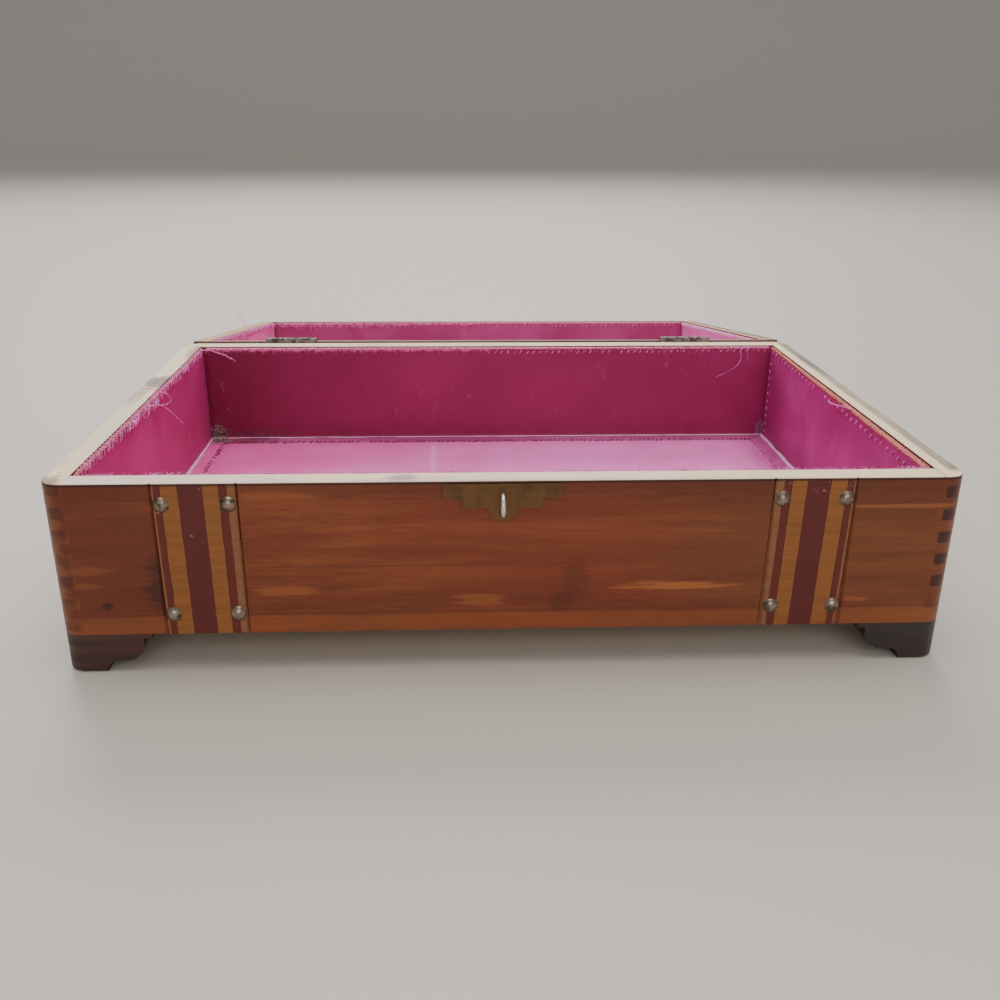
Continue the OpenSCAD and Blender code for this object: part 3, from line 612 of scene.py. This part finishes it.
def make_floor_lining(tray, node, material):
    """The padded floor, reaching under the walls' flaps."""
    nx, ny = 130, 86
    x0, x1 = -TRAY_W / 2 + 0.3, TRAY_W / 2 - 0.3
    y0, y1 = 0.3, TRAY_D - 0.3
    verts, faces = [], []
    for level in (0, 1):
        for j in range(ny + 1):
            for i in range(nx + 1):
                x, y = x0 + (x1 - x0) * i / nx, y0 + (y1 - y0) * j / ny
                up = 0.15 if level == 0 else PAD_T - 0.05 + floor_swell(x, y)
                verts.append(tray.place(Vector((x, y, up))))
    row = nx + 1
    top = row * (ny + 1)
    for j in range(ny):
        for i in range(nx):
            a = j * row + i
            faces.append((a, a + row, a + row + 1, a + 1))
            faces.append((top + a, top + a + 1, top + a + row + 1, top + a + row))
    last = ny * row
    sides = [(i, i + 1) for i in range(nx)] + [(last + i + 1, last + i) for i in range(nx)]
    sides += [(a + row, a) for a in range(0, last, row)]
    sides += [(a, a + row) for a in range(nx, last, row)]
    faces += [(a, b, top + b, top + a) for a, b in sides]
    make_soft(node, verts, faces, material, tray.body)


class Threads:
    """Many short tubes and strips gathered into one mesh."""

    def __init__(self):
        self.verts = []
        self.faces = []

    def tube(self, path, radius, sides=5, taper=0.0, radii=None):
        """A closed tube along points in metres, its radius in millimetres."""
        count = len(path)
        side = None
        rings = []
        for i, point in enumerate(path):
            ahead = (path[min(i + 1, count - 1)] - path[max(i - 1, 0)]).normalized()
            if side is None:
                side = ahead.orthogonal().normalized()
            side = (side - ahead * side.dot(ahead)).normalized()
            other = ahead.cross(side)
            r = (radii[i] if radii else radius * (1 - taper * i / (count - 1))) * MM
            angles = [2 * math.pi * k / sides for k in range(sides)]
            rings.append([point + (side * math.cos(a) + other * math.sin(a)) * r for a in angles])
        self.loft(rings)

    def loft(self, rings):
        """A closed strip through equal rings of points."""
        first, n = len(self.verts), len(rings[0])
        for ring in rings:
            self.verts.extend(ring)
        for i in range(len(rings) - 1):
            for k in range(n):
                a, b = first + i * n + k, first + i * n + (k + 1) % n
                self.faces.append((a, b, b + n, a + n))
        self.faces.append(tuple(first + k for k in range(n - 1, -1, -1)))
        self.faces.append(tuple(first + (len(rings) - 1) * n + k for k in range(n)))

    def stitch(self, tray, wall, at, steps, radius, sides=5):
        """A tube through points given as steps along, in and up from a place on a wall."""
        places = [[a + b for a, b in zip(at, step)] for step in steps]
        self.tube([wall_point(tray, wall, *place) for place in places], radius, sides)

    def piece(self, name, material, body):
        made = new_mesh(name, self.verts, self.faces, material)
        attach(made, body)


def everywhere(share):
    return 1.0


def in_clumps(size, seed, least=0.1):
    """A weight along a wall that gathers fibres in clumps."""
    return lambda share: max(least, 2.4 * noise.noise(Vector((share * size, seed, 0.0))) + 0.25)


# One stitch of each kind, as steps along, in and up
SLANTED = ((-0.5, -0.4, 0.8), (-0.25, 0.15, 0.45), (0.25, 0.15, -0.35), (0.5, -0.4, -0.8))
OVER_FLAP = ((-0.6, -0.9, -0.1), (-0.2, -0.1, 0.3), (0.4, 0.7, 0.1), (0.7, 1.1, -0.3))
UPRIGHT = ((-0.3, -0.3, -0.8), (0, 0.25, 0), (0.2, -0.3, 0.8))


def whip_stitches(threads, tray, wall, first, last, pitch):
    """Loops of thread sewn over a lining's top edge, from one place along its wall to another."""
    h = tray.height
    for i in range(int((last - first) / pitch)):
        along = first + pitch * (i + 0.5) + RNG.uniform(-0.35, 0.35)
        if RNG.random() < 0.06:
            continue
        lean = RNG.uniform(0.5, 1.5)
        low = RNG.uniform(1.4, 3.3)
        inner = face_in(tray, wall, along, h - 1.5)
        path = []
        for k in range(7):
            a = math.pi * (0.1 + 0.9 * k / 6)
            inward = inner / 2 - (inner / 2 + 0.22) * math.cos(a)
            up = h - 0.6 + 0.85 * math.sin(a)
            path.append(wall_point(tray, wall, along + lean * k / 8, inward, up))
        for a, b, c in ((1, 0.35, 0.4), (1.3, 0.25, 0.8), (1.2, -0.25, 1)):
            path.append(wall_point(tray, wall, along + lean * a, inner + b, h - 0.9 - low * c))
        threads.tube(path, RNG.uniform(0.24, 0.36), 6)


def running_stitches(threads, tray, wall, first, last, drops, pitch, thick, skip=(0, 0)):
    """A row of short slanted stitches, at one depth below the edge where it starts and one where it ends."""
    for i in range(int((last - first) / pitch)):
        along = first + pitch * (i + 0.5) + RNG.uniform(-0.2, 0.2)
        if skip[0] < along < skip[1] or RNG.random() < 0.05:
            continue
        share = (along - first) / (last - first)
        up = tray.height - drops[0] - (drops[1] - drops[0]) * share + RNG.uniform(-0.3, 0.3)
        at = (along, face_in(tray, wall, along, up) + 0.1, up)
        threads.stitch(tray, wall, at, SLANTED, RNG.uniform(0.8, 1.15) * thick, 6)


def flap_stitches(threads, tray, wall, pitch):
    """Stitches that hold a wall lining's flap down on the floor cloth."""
    length = WALLS[wall][3]
    inward = SATIN_T + FLAP_L - 0.4
    for i in range(int((length - 2 * inward) / pitch)):
        along = inward + pitch * (i + 0.5) + RNG.uniform(-0.5, 0.5)
        if RNG.random() < 0.1:
            continue
        at = (along, inward + RNG.uniform(-0.45, 0.45), PAD_T + FLAP_T)
        threads.stitch(tray, wall, at, OVER_FLAP, RNG.uniform(0.16, 0.28))


def corner_stitches(threads, tray, wall, along, pitch=3.0, thick=0.24):
    """Stitches down the upright seam where two walls' linings meet."""
    for i in range(int((tray.height - PAD_T - 6) / pitch)):
        up = PAD_T + 3.5 + pitch * i + RNG.uniform(-0.4, 0.4)
        threads.stitch(tray, wall, (along, face_in(tray, wall, along, up), up), UPRIGHT, thick)


def scattered(wall, per_mm, weight):
    """Random places along a wall, thinned by a weight."""
    length = WALLS[wall][3]
    for _ in range(int(length * per_mm)):
        share = RNG.random()
        if RNG.random() <= weight(share):
            yield 2 + (length - 4) * share


def fringe(threads, tray, wall, per_mm, drop, weight=everywhere, thick=(0.07, 0.16)):
    """Frayed fibres that hang from a lining's top edge down its face."""
    for along in scattered(wall, per_mm, weight):
        fall = RNG.uniform(*drop)
        drift = RNG.uniform(-0.7, 0.7)
        top = tray.height - RNG.uniform(0.0, 0.5)
        path = []
        for k in range(5):
            s = k / 4
            up = top - fall * s
            off = face_in(tray, wall, along, up) + 0.12 + 0.5 * math.sin(math.pi * s) * RNG.uniform(0.2, 1.0)
            path.append(wall_point(tray, wall, along + drift * s * s * 1.6, off, up))
        threads.tube(path, RNG.uniform(*thick), 4, 0.5)


def fuzz(threads, tray, wall, per_mm, long, weight=everywhere, thick=(0.05, 0.11), rise=0.0):
    """Frayed fibres that stand up from a lining's top edge, clear of the rim if they have a rise."""
    for along in scattered(wall, per_mm, weight):
        inner = face_in(tray, wall, along, tray.height - 1)
        start = wall_point(tray, wall, along, RNG.uniform(0.3, inner), tray.height - 0.3)
        reach = RNG.uniform(*long)
        least = -1.0 if rise == 0 else 0.2
        lean = Vector((RNG.uniform(-1, 1), RNG.uniform(least, 1), rise + RNG.uniform(0.0, 0.8))).normalized()
        bend = Vector((RNG.uniform(-1, 1), RNG.uniform(least, 1), RNG.uniform(-1.0, 0.1))).normalized()
        path = [start + (lean * s + bend * s * s * 0.7) * reach * MM for s in (0.0, 0.33, 0.66, 1.0)]
        threads.tube(path, RNG.uniform(*thick), 4, 0.5)


def torn_edge(threads, tray, wall, least, most, seed, weight=everywhere):
    """A thin torn strip of cloth turned over a lining's top edge, ragged along its lower side."""
    length = WALLS[wall][3]
    rings = []
    for i in range(int((length - 5) / 0.4)):
        along = 2.5 + 0.4 * i
        wave = 0.5 + 0.5 * noise.noise(Vector((along / 4.2, seed, 0)))
        wave += 0.5 * noise.noise(Vector((along / 0.9, seed, 3)))
        drop = least + (most - least) * max(0.0, min(1.2, wave)) * min(1.0, weight(along / length))
        top = tray.height + 0.12
        low = tray.height - drop
        inner = face_in(tray, wall, along, low)
        curl = 0.12 + 0.3 * abs(noise.noise(Vector((along / 1.7, seed, 7))))
        section = ((0.25, top - 0.3), (inner * 0.5, top), (inner + 0.3, top - 0.45),
                   (inner + curl + 0.1, low), (inner - 0.1, low + 0.1))
        rings.append([wall_point(tray, wall, along, *place) for place in section])
    threads.loft(rings)


def raw_edge(threads, tray, wall, widths):
    """The frayed raw backing along a lining's top, with its width where the wall starts and ends."""
    length = WALLS[wall][3]
    rings = []
    for i in range(int((length - 4) / 0.5)):
        along = 2 + 0.5 * i
        share = along / length
        width = widths[0] + (widths[1] - widths[0]) * share
        width += 0.35 * noise.noise(Vector((along / 1.3, 4.4, 0)))
        top = tray.height + 0.25 + 0.25 * noise.noise(Vector((along / 0.8, 9.1, 0)))
        section = ((0.15, top - 1.2), (0.2, top - 0.35), (width * 0.35, top),
                   (width * 0.75, top - 0.15), (width, top - 0.8), (width * 0.8, top - 1.6))
        rings.append([wall_point(tray, wall, along, *place) for place in section])
    threads.loft(rings)


def fold(threads, tray, wall, radii):
    """A pale bead along the fold where a wall's lining turns onto the floor, its colour a painted highlight.
    """
    length = WALLS[wall][3]
    count = int(length / 3)
    path, sizes = [], []
    for i in range(count + 1):
        share = i / count
        inward = SATIN_T + 0.5 + 0.25 * noise.noise(Vector((share * 18, 2.0, 1.0)))
        along = inward + (length - 2 * inward) * share
        size = radii[0] + (radii[1] - radii[0]) * share
        path.append(wall_point(tray, wall, along, inward + size * 0.7, PAD_T + 0.55 + size * 0.3))
        sizes.append(size * (1 + 0.35 * noise.noise(Vector((share * 30, 5.0, 1.0)))))
    threads.tube(path, 0, 8, radii=sizes)


def smooth_path(points, steps=6):
    """A curve through control points, as more points."""
    ends = [points[0] * 2 - points[1]] + points + [points[-1] * 2 - points[-2]]
    path = []
    for a, b, c, d in zip(ends, ends[1:], ends[2:], ends[3:]):
        for i in range(steps):
            s = i / steps
            path.append(0.5 * ((2 * b) + (c - a) * s + (2 * a - 5 * b + 4 * c - d) * s * s
                               + (3 * b - a - 3 * c + d) * s * s * s))
    path.append(points[-1])
    return path


def loose_thread(threads, points, thick, strands=1, spread=0.5):
    """A loose thread of one or more strands through points of the case, y measured from its front."""
    for _ in range(strands):
        moved = []
        for i, (x, y, z) in enumerate(points):
            stray = spread * (i / len(points)) if strands > 1 else 0.0
            x, y = x + RNG.uniform(-stray, stray), FRONT_Y + y + RNG.uniform(-stray, stray)
            moved.append(Vector((x, y, z - RNG.uniform(0, stray))) * MM)
        threads.tube(smooth_path(moved), thick, 6, 0.55)


def curls(threads, tray, wall, count, first, last, size, thick):
    """Small open loops of loose thread lying along a lining's top edge."""
    for _ in range(count):
        along = RNG.uniform(first, last)
        reach = RNG.uniform(*size)
        turn = RNG.uniform(0, 2 * math.pi)
        wide = RNG.uniform(0.45, 0.9)
        path = []
        for k in range(11):
            a = turn + 2 * math.pi * 0.85 * k / 10
            inward = 1.2 + reach * wide * (1 + math.cos(a)) * 0.5
            up = tray.height - 0.7 + reach * 0.45 * math.sin(a) * RNG.uniform(0.9, 1.1)
            up = min(up, tray.height + RNG.uniform(0.05, 0.3))
            inner = face_in(tray, wall, along, tray.height - 2) + 0.3
            if up < tray.height:
                inward = max(inward, inner)
            path.append(wall_point(tray, wall, along + reach * 0.6 * math.cos(a + 0.8), inward, up))
        threads.tube(path, RNG.uniform(*thick), 5, 0.3)


def make_linings():
    """All the satin pieces."""
    hole = (srgb(58, 44, 42), srgb(168, 150, 138))
    smear = (srgb(96, 34, 54), srgb(132, 66, 88))
    back_spots = [
        ((-141.5, FRONT_Y + 194, 23.6), (6.0, 0, 4.6), hole, 0.9),
        ((-122, FRONT_Y + 194, 23.5), (16, 0, 2.6), smear, 0.7),
        ((143, FRONT_Y + 194, 24.5), (3.5, 0, 5.0), (srgb(96, 52, 96), srgb(196, 150, 190)), 0.6),
    ]
    shade = (srgb(166, 66, 128), srgb(206, 100, 168))
    # A painted highlight: a pale streak of light along a crease in the floor cloth
    crease = (srgb(250, 190, 228), srgb(255, 226, 248))
    floor_spots = [
        ((-139.5, FRONT_Y + 190, 21), (6.0, 5.5, 0), hole, 0.8),
        ((137, FRONT_Y + 70, 21), (12, 110, 0), shade, 0.55),
        ((-29, FRONT_Y + 160, 21), (1.6, 20, 0), crease, 0.3),
    ]
    # One satin cloth throughout: each wall, flap and floor has its own lit or shaded copy of its colour,
    # painted light and shade, with the far wall and its flap darker and the floor paler with a painted sheen
    back = satin("satin_back_painted_shade", srgb(120, 37, 66), srgb(156, 50, 98), 0.5, (-140, -20), back_spots)
    left = satin("satin_left_painted_light", srgb(187, 49, 117), srgb(203, 63, 137), 0.46)
    right = satin("satin_right_painted_light", srgb(172, 48, 122), srgb(196, 66, 148), 0.42)
    front = satin("satin_front_painted_light", srgb(170, 40, 88), srgb(188, 54, 106), 0.5)
    dusky = satin("satin_lid_front_painted_shade", srgb(156, 58, 104), srgb(174, 78, 128), 0.46)
    rose = satin("satin_lid_left_painted_light", srgb(232, 120, 168), srgb(246, 150, 196), 0.42)
    violet = satin("satin_lid_right_painted_light", srgb(226, 110, 176), srgb(242, 140, 204), 0.38)
    plum = satin("satin_right_flap_painted_light", srgb(190, 80, 150), srgb(216, 104, 182), 0.36)
    floor = satin("satin_floor_painted_sheen", srgb(240, 96, 174), srgb(255, 138, 218), 0.36, (-150, 40), floor_spots, 0.3)
    strip = satin("satin_far_flap_painted_shade", srgb(170, 72, 124), srgb(196, 98, 154), 0.42, None,
                  back_spots + floor_spots[:1])
    makes = {
        "back_lining": (CASE_TRAY, "far", back, strip),
        "front_lining": (CASE_TRAY, "near", front, floor),
        "left_lining": (CASE_TRAY, "left", left, floor),
        "right_lining": (CASE_TRAY, "right", right, plum),
        "lid_back_lining": (LID_TRAY, "near", front, floor),
        "lid_front_lining": (LID_TRAY, "far", dusky, floor),
        "lid_left_lining": (LID_TRAY, "left", rose, floor),
        "lid_right_lining": (LID_TRAY, "right", violet, floor),
    }
    for node, (tray, wall, face, flap) in makes.items():
        make_wall_lining(tray, wall, node, face, flap)
    make_floor_lining(CASE_TRAY, "floor_lining", floor)
    make_floor_lining(LID_TRAY, "lid_panel_lining", floor)


def make_threads():
    """The stitches, frayed edges, folds with their painted highlights and loose threads of both linings."""
    pink = thread_paint("pink_thread", srgb(206, 84, 156), srgb(242, 150, 210))
    rose = thread_paint("rose_cloth", srgb(196, 70, 124), srgb(236, 140, 184), 900.0)
    deep = thread_paint("deep_thread", srgb(92, 18, 42), srgb(150, 44, 84))
    coral = thread_paint("coral_backing", srgb(150, 62, 48), srgb(214, 118, 104), 1100.0)
    # The folds' near-white satin is a painted highlight where the cloth turns onto the floor
    shine = satin("satin_fold_painted_highlight", srgb(252, 190, 232), srgb(255, 226, 248), 0.24)
    for tray in (CASE_TRAY, LID_TRAY):
        edge, pale, dark, raw, bright = (Threads() for _ in range(5))
        middle = TRAY_W / 2
        ragged_left = (lambda share: 0.35 if share < 0.5 else 1.0)
        torn_edge(edge, tray, "far", 0.5, 2.6, 3.0, ragged_left)
        fringe(edge, tray, "far", 4.0, (0.6, 3.2), ragged_left)
        torn_edge(edge, tray, "near", 0.4, 1.6, 5.0)
        torn_edge(edge, tray, "left", 0.4, 1.2, 8.0)
        fringe(pale, tray, "left", 0.5, (0.6, 2.2))
        fuzz(pale, tray, "left", 1.4, (0.6, 1.8))
        whip_stitches(pale, tray, "left", 4, TRAY_D - 4, 3.0)
        running_stitches(pale, tray, "far", 6, middle + 4, (2.0, 2.4), 3.2, 0.26)
        raw_edge(raw, tray, "left", (1.2, 1.6))
        for wall in WALLS:
            flap_stitches(pale if wall == "right" else dark, tray, wall, 2.3 if wall == "far" else 3.1)
        corner_stitches(dark, tray, "far", TRAY_W - 1.9, 2.2)
        corner_stitches(pale, tray, "right", TRAY_D - 4.6, 4.0, 0.34)
        fold(bright, tray, "far", (0.3, 0.24))
        fold(bright, tray, "left", (0.4, 2.3))
        fold(bright, tray, "right", (1.2, 0.8))
        if tray is CASE_TRAY:
            raw_edge(raw, tray, "right", (3.1, 1.7))
            fuzz(raw, tray, "right", 6.0, (0.4, 1.2), in_clumps(14, 7.0, 0.35))
            running_stitches(pale, tray, "right", 6, TRAY_D - 4, (4.4, 1.7), 5.2, 0.46, (104, 116))
            fuzz(pale, tray, "near", 14.0, (0.9, 1.7), in_clumps(26, 4.0), (0.07, 0.14), 0.9)
            case_threads(pale)
            frayed_hole()
        else:
            # The lid's right fringe takes the folds' painted highlight colour
            fringe(bright, tray, "right", 3.4, (0.8, 2.6), everywhere, (0.1, 0.2))
            fringe(pale, tray, "far", 4.5, (1.4, 4.6), lambda share: min(1.0, 3 * (share - 0.5)), (0.1, 0.2))
            fringe(pale, tray, "left", 3.0, (0.8, 2.6), everywhere, (0.1, 0.2))
            lid_threads(pale)
        groups = {"edge": (edge, rose), "stitch": (pale, pink), "seam": (dark, deep),
                  "backing": (raw, coral), "fold": (bright, shine)}
        for kind, (group, paint) in groups.items():
            group.piece(tray.prefix + kind + "_threads", paint, tray.body)


def case_threads(pale):
    """The long loose threads of the case."""
    loop = [(-151.9, 116.2, 69.1), (-147.5, 115.1, 69.1), (-143.1, 111.5, 68.9), (-141.0, 114.8, 67.4),
            (-140.5, 118.6, 63.7), (-141.0, 114.4, 62.9), (-141.5, 106.0, 64.9), (-142.5, 95.8, 67.6),
            (-143.0, 90.8, 68.8)]
    tail = [(-143.2, 90.3, 68.8), (-140.4, 88.9, 69.0), (-141.6, 103.6, 65.6), (-140.8, 110.3, 62.5),
            (-140.0, 115.4, 58.8), (-139.5, 121.0, 54.9), (-139.0, 126.2, 50.6)]
    corner = [(-143.2, 187.5, 68.6), (-139.5, 188.8, 68.8), (-136.7, 192.2, 67.0), (-132.8, 191.9, 65.9),
              (-129.9, 191.6, 64.5), (-127.9, 191.3, 63.6)]
    back = [(129.6, 193.5, 68.7), (127.5, 192.5, 67.1), (127.6, 192.0, 64.1), (127.3, 192.0, 61.5),
            (125.1, 192.0, 58.4), (121.2, 192.3, 55.7), (115.9, 192.8, 53.0)]
    right = [(142.5, 80.0, 68.6), (141.0, 87.1, 68.0), (140.2, 92.3, 67.2), (140.4, 99.3, 66.3),
             (141.0, 104.1, 66.2)]
    loose_thread(pale, loop, 0.2, 3, 0.8)
    loose_thread(pale, tail, 0.3, 2, 0.7)
    loose_thread(pale, corner, 0.2, 5, 1.5)
    loose_thread(pale, back, 0.26, 1)
    loose_thread(pale, [(x + 3.5, y, z + 0.4) for x, y, z in back[:4]], 0.18, 1)
    loose_thread(pale, right, 0.26, 2, 0.6)
    curls(pale, CASE_TRAY, "left", 17, TRAY_D - 96, TRAY_D - 52, (2.4, 4.8), (0.2, 0.32))
    curls(pale, CASE_TRAY, "left", 7, TRAY_D - 50, TRAY_D - 8, (1.6, 3.2), (0.18, 0.28))
    curls(pale, CASE_TRAY, "left", 10, 8, TRAY_D - 100, (1.4, 2.6), (0.16, 0.26))


def lid_threads(pale):
    """The long loose threads of the lid."""
    wide = TRAY_W
    hanging = ((8, 1.0, 2.0), (24, -1.4, 5.0), (31, 0.9, 6.0), (80, 1.2, 3.0), (112, -0.7, 2.4))
    for along, lean, fall in hanging:
        start = wide - along
        steps = [(lean * s * fall, s * 2.6, -s * s * fall) for s in (0.0, 0.3, 0.6, 1.0)]
        path = [wall_point(LID_TRAY, "far", start + a, 1.6 + b, LID_TRAY_H + 0.2 + c) for a, b, c in steps]
        pale.tube(smooth_path(path, 4), 0.22, 5, 0.5)
    curls(pale, LID_TRAY, "far", 26, wide - 96, wide - 20, (1.6, 3.4), (0.16, 0.28))
    curls(pale, LID_TRAY, "left", 22, 10, TRAY_D - 10, (1.6, 3.6), (0.16, 0.28))
    outside = [(-143.6, -0.5), (-147.5, 0.05), (-152.2, 0.03), (-153.1, 0.9), (-154.6, 4.2), (-157.4, 9.6)]
    path = [turned(Vector((x, FRONT_Y + 62, LID_RIM_Z - up)) * MM, -OPEN_TURN) for x, up in outside]
    pale.tube(smooth_path(path), 0.2, 5, 0.3)


def frayed_hole():
    """Broken fibres round the worn hole in the case's far left corner."""
    dust = Threads()
    for _ in range(80):
        x, y = RNG.uniform(-142.6, -135), FRONT_Y + RNG.uniform(186, 193.4)
        at = Vector((x, y, PAD_T + RNG.uniform(19.3, 20.2)))
        if RNG.random() < 0.6:
            at.y = FRONT_Y + 193.4
            at.z = RNG.uniform(21, 27)
        lean = Vector((RNG.uniform(-1, 1), RNG.uniform(-1, 0.4), RNG.uniform(-0.6, 0.9))).normalized()
        bend = Vector((RNG.uniform(-1, 1), RNG.uniform(-1, 1), RNG.uniform(-1, 1))).normalized()
        reach = RNG.uniform(0.4, 1.1)
        path = [(at + lean * reach * s + bend * reach * s * s * 0.8) * MM for s in (0.0, 0.35, 0.7, 1.0)]
        dust.tube(path, RNG.uniform(0.09, 0.18), 4, 0.4)
    paint = thread_paint("dusty_fibre", srgb(84, 64, 72), srgb(164, 140, 146), 900.0)
    dust.piece("hole_fibres", paint, "case")


def paint_frame():
    """Gives every CAD node that stays its material."""
    front_spots = [
        ((10, 0, 46), (58, 0, 26), CEDAR_RED, 0.45),
        ((118, 0, 44), (60, 0, 34), srgb(106, 62, 36), 0.45),
        ((-140, 0, 44), (32, 0, 34), CEDAR_DARK, 0.5),
        ((0, 0, 17.6), (400, 0, 3.6), srgb(150, 84, 46), 0.35),
        ((0, 0, 21.5), (400, 0, 0.5), CEDAR_DARK, 0.5),
        ((0, 0, 69), (400, 0, 6), CEDAR_DARK, 0.65),
        ((-151, 0, 46), (3.4, 0, 40), srgb(140, 88, 56), 0.5),
        ((-77, 0, 64.4), (13, 0, 1.6), CEDAR_LIGHT, 0.6),
        ((-76, 0, 30.1), (10.5, 0, 1.9), CEDAR_LIGHT, 0.75),
        ((-10, 0, 26.0), (8, 0, 2.4), CEDAR_LIGHT, 0.6),
        ((56, 0, 30.2), (17, 0, 1.5), srgb(166, 100, 52), 0.85),
        ((17, 0, 25.0), (4, 0, 3.4), CEDAR_DARK, 0.8),
        ((22, 0, 32.0), (4.5, 0, 7.5), CEDAR_DARK, 0.55),
        ((133, 0, 58.8), (22, 0, 0.7), CEDAR_LIGHT, 0.8),
        ((120, 0, 24.0), (5, 0, 0.8), CEDAR_LIGHT, 0.7),
        ((-30, 0, 39.0), (42, 0, 0.4), CEDAR_DARK, 0.5),
        ((-140, 0, 38.6), (7, 0, 1.4), CEDAR_LIGHT, 0.35),
        ((-143, 0, 32.6), (5, 0, 1.1), CEDAR_LIGHT, 0.35),
        ((-135.4, 0, 25.4), (1.9, 0, 1.9), srgb(48, 24, 18), 0.75),
        ((-116.5, 0, 32.5), (5.0, 0, 9.0), srgb(58, 28, 22), 0.7),
    ]
    front_rim_spots = [
        ((-36, FRONT_Y + 3.6, 0), (5, 3.4, 0), srgb(150, 136, 142), 0.75),
        ((-120, FRONT_Y + 4, 0), (46, 8, 0), srgb(226, 200, 206), 0.5),
        ((30, FRONT_Y + 1, 0), (90, 1.2, 0), srgb(206, 190, 186), 0.5),
    ]
    side_rim_spots = [
        ((-151.5, FRONT_Y + 2, 0), (6, 5, 0), srgb(130, 108, 94), 0.75),
        ((-148, FRONT_Y + 127, 0), (6, 9, 0), srgb(112, 106, 114), 0.8),
        ((-150, FRONT_Y + 104, 0), (3, 14, 0), srgb(150, 134, 112), 0.6),
        ((-146, FRONT_Y + 60, 0), (8, 40, 0), srgb(236, 222, 190), 0.6),
        ((-145, FRONT_Y + 186, 0), (3, 12, 0), srgb(120, 100, 100), 0.6),
    ]
    painted = wood("cedar_front", "X", True, spots=front_spots, rim_spots=front_rim_spots)
    back = wood("cedar_back", "X", True)
    lid_board = wood("cedar_lid_board", "X", True, True)
    side = wood("cedar_side", "Y", rim_spots=side_rim_spots)
    lid_side = wood("cedar_lid_side", "Y", on_lid=True)
    brown = foot_wood("brown_foot", srgb(74, 38, 28), srgb(48, 26, 20))
    # The right feet stand in shadow: their darker copy of the foot wood is painted shade
    shaded = foot_wood("black_foot", srgb(50, 38, 34), srgb(34, 26, 24))
    nickel = metal("tack_nickel", srgb(160, 142, 126), srgb(50, 38, 32), 0.24, 420.0, 0.42, 0.7)
    bronze = metal("hasp_bronze", srgb(118, 88, 62), srgb(82, 60, 42), 0.42, 160.0)
    wire = metal("bright_wire", srgb(230, 226, 218), srgb(120, 104, 90), 0.14, 300.0, 0.6, 0.85)
    steel = metal("hinge_steel", srgb(128, 114, 110), srgb(58, 46, 42), 0.42, 420.0, 0.44, 0.6)
    dull = metal("dull_steel", srgb(120, 112, 104), srgb(70, 54, 44), 0.45, 400.0)
    leaves = " ".join(f"{side}_hinge_{body}_leaf" for side in ("left", "right") for body in ("case", "lid"))
    for material, names in (
        (painted, "front_wall"), (back, "back_wall"), (side, "left_wall right_wall"),
        (lid_board, "lid_panel lid_front_rail lid_back_rail"), (lid_side, "lid_left_rail lid_right_rail"),
        (plain_wood("bare_board"), "base_panel"), (brown, "front_left_foot back_left_foot"),
        (shaded, "front_right_foot back_right_foot"), (nickel, "band_tacks lid_tacks"),
        (bronze, "strike_plate hasp_plate hasp_nails hasp_tongue"), (wire, "staple"), (steel, leaves),
        (dull, "left_hinge_pin right_hinge_pin hasp_pin case_hinge_screws lid_hinge_screws foot_brads"),
    ):
        for name in names.split():
            nodes[name].data.materials.clear()
            nodes[name].data.materials.append(material)


# Floor and light
SWEEP_R = 1.6


def make_stage():
    """A pale floor that sweeps up into a backdrop well behind the box."""
    half, front, start, top = 12.0, -16.0, 3.0, 3.2
    line = [(front, 0.0), (start, 0.0)]
    for i in range(1, 13):
        a = math.pi / 2 * i / 12
        line.append((start + SWEEP_R * math.sin(a), SWEEP_R * (1 - math.cos(a))))
    line.append((start + SWEEP_R, top))
    verts = [(x, y, z) for y, z in line for x in (-half, half)]
    faces = [(2 * i, 2 * i + 1, 2 * i + 3, 2 * i + 2) for i in range(len(line) - 1)]
    p = Paint("pale_floor")
    p.set("Base Color", solid(srgb(206, 198, 188)))
    p.set("Roughness", 0.5)
    floor = new_mesh("floor", verts, faces, p.mat)


def area_light(name, at, toward, size, watts, colour=(1, 1, 1)):
    data = bpy.data.lights.new(name, "AREA")
    data.shape = "RECTANGLE"
    data.size, data.size_y = size
    data.energy = watts
    data.color = colour
    light = bpy.data.objects.new(name, data)
    bpy.context.scene.collection.objects.link(light)
    light.location = at
    light.rotation_euler = (Vector(toward) - Vector(at)).to_track_quat("-Z", "Y").to_euler()


def make_lights():
    world = bpy.data.worlds.new("studio")
    bpy.context.scene.world = world
    world.use_nodes = True
    world.node_tree.nodes["Background"].inputs[0].default_value = (0.86, 0.88, 0.9, 1)
    world.node_tree.nodes["Background"].inputs[1].default_value = 0.45
    area_light("window", (-0.2, 1.5, 1.25), (0, 0, 0), (1.8, 1.0), 33, (0.98, 0.97, 0.98))
    area_light("ceiling", (0.1, -0.1, 1.6), (0, 0, 0), (1.4, 1.4), 16, (1.0, 0.97, 0.93))
    area_light("front_fill", (0.1, -1.5, 0.7), (0, 0, 0), (1.2, 0.8), 7, (1.0, 0.97, 0.93))


make_camera()
make_stage()
make_lights()
paint_frame()
make_linings()
make_threads()
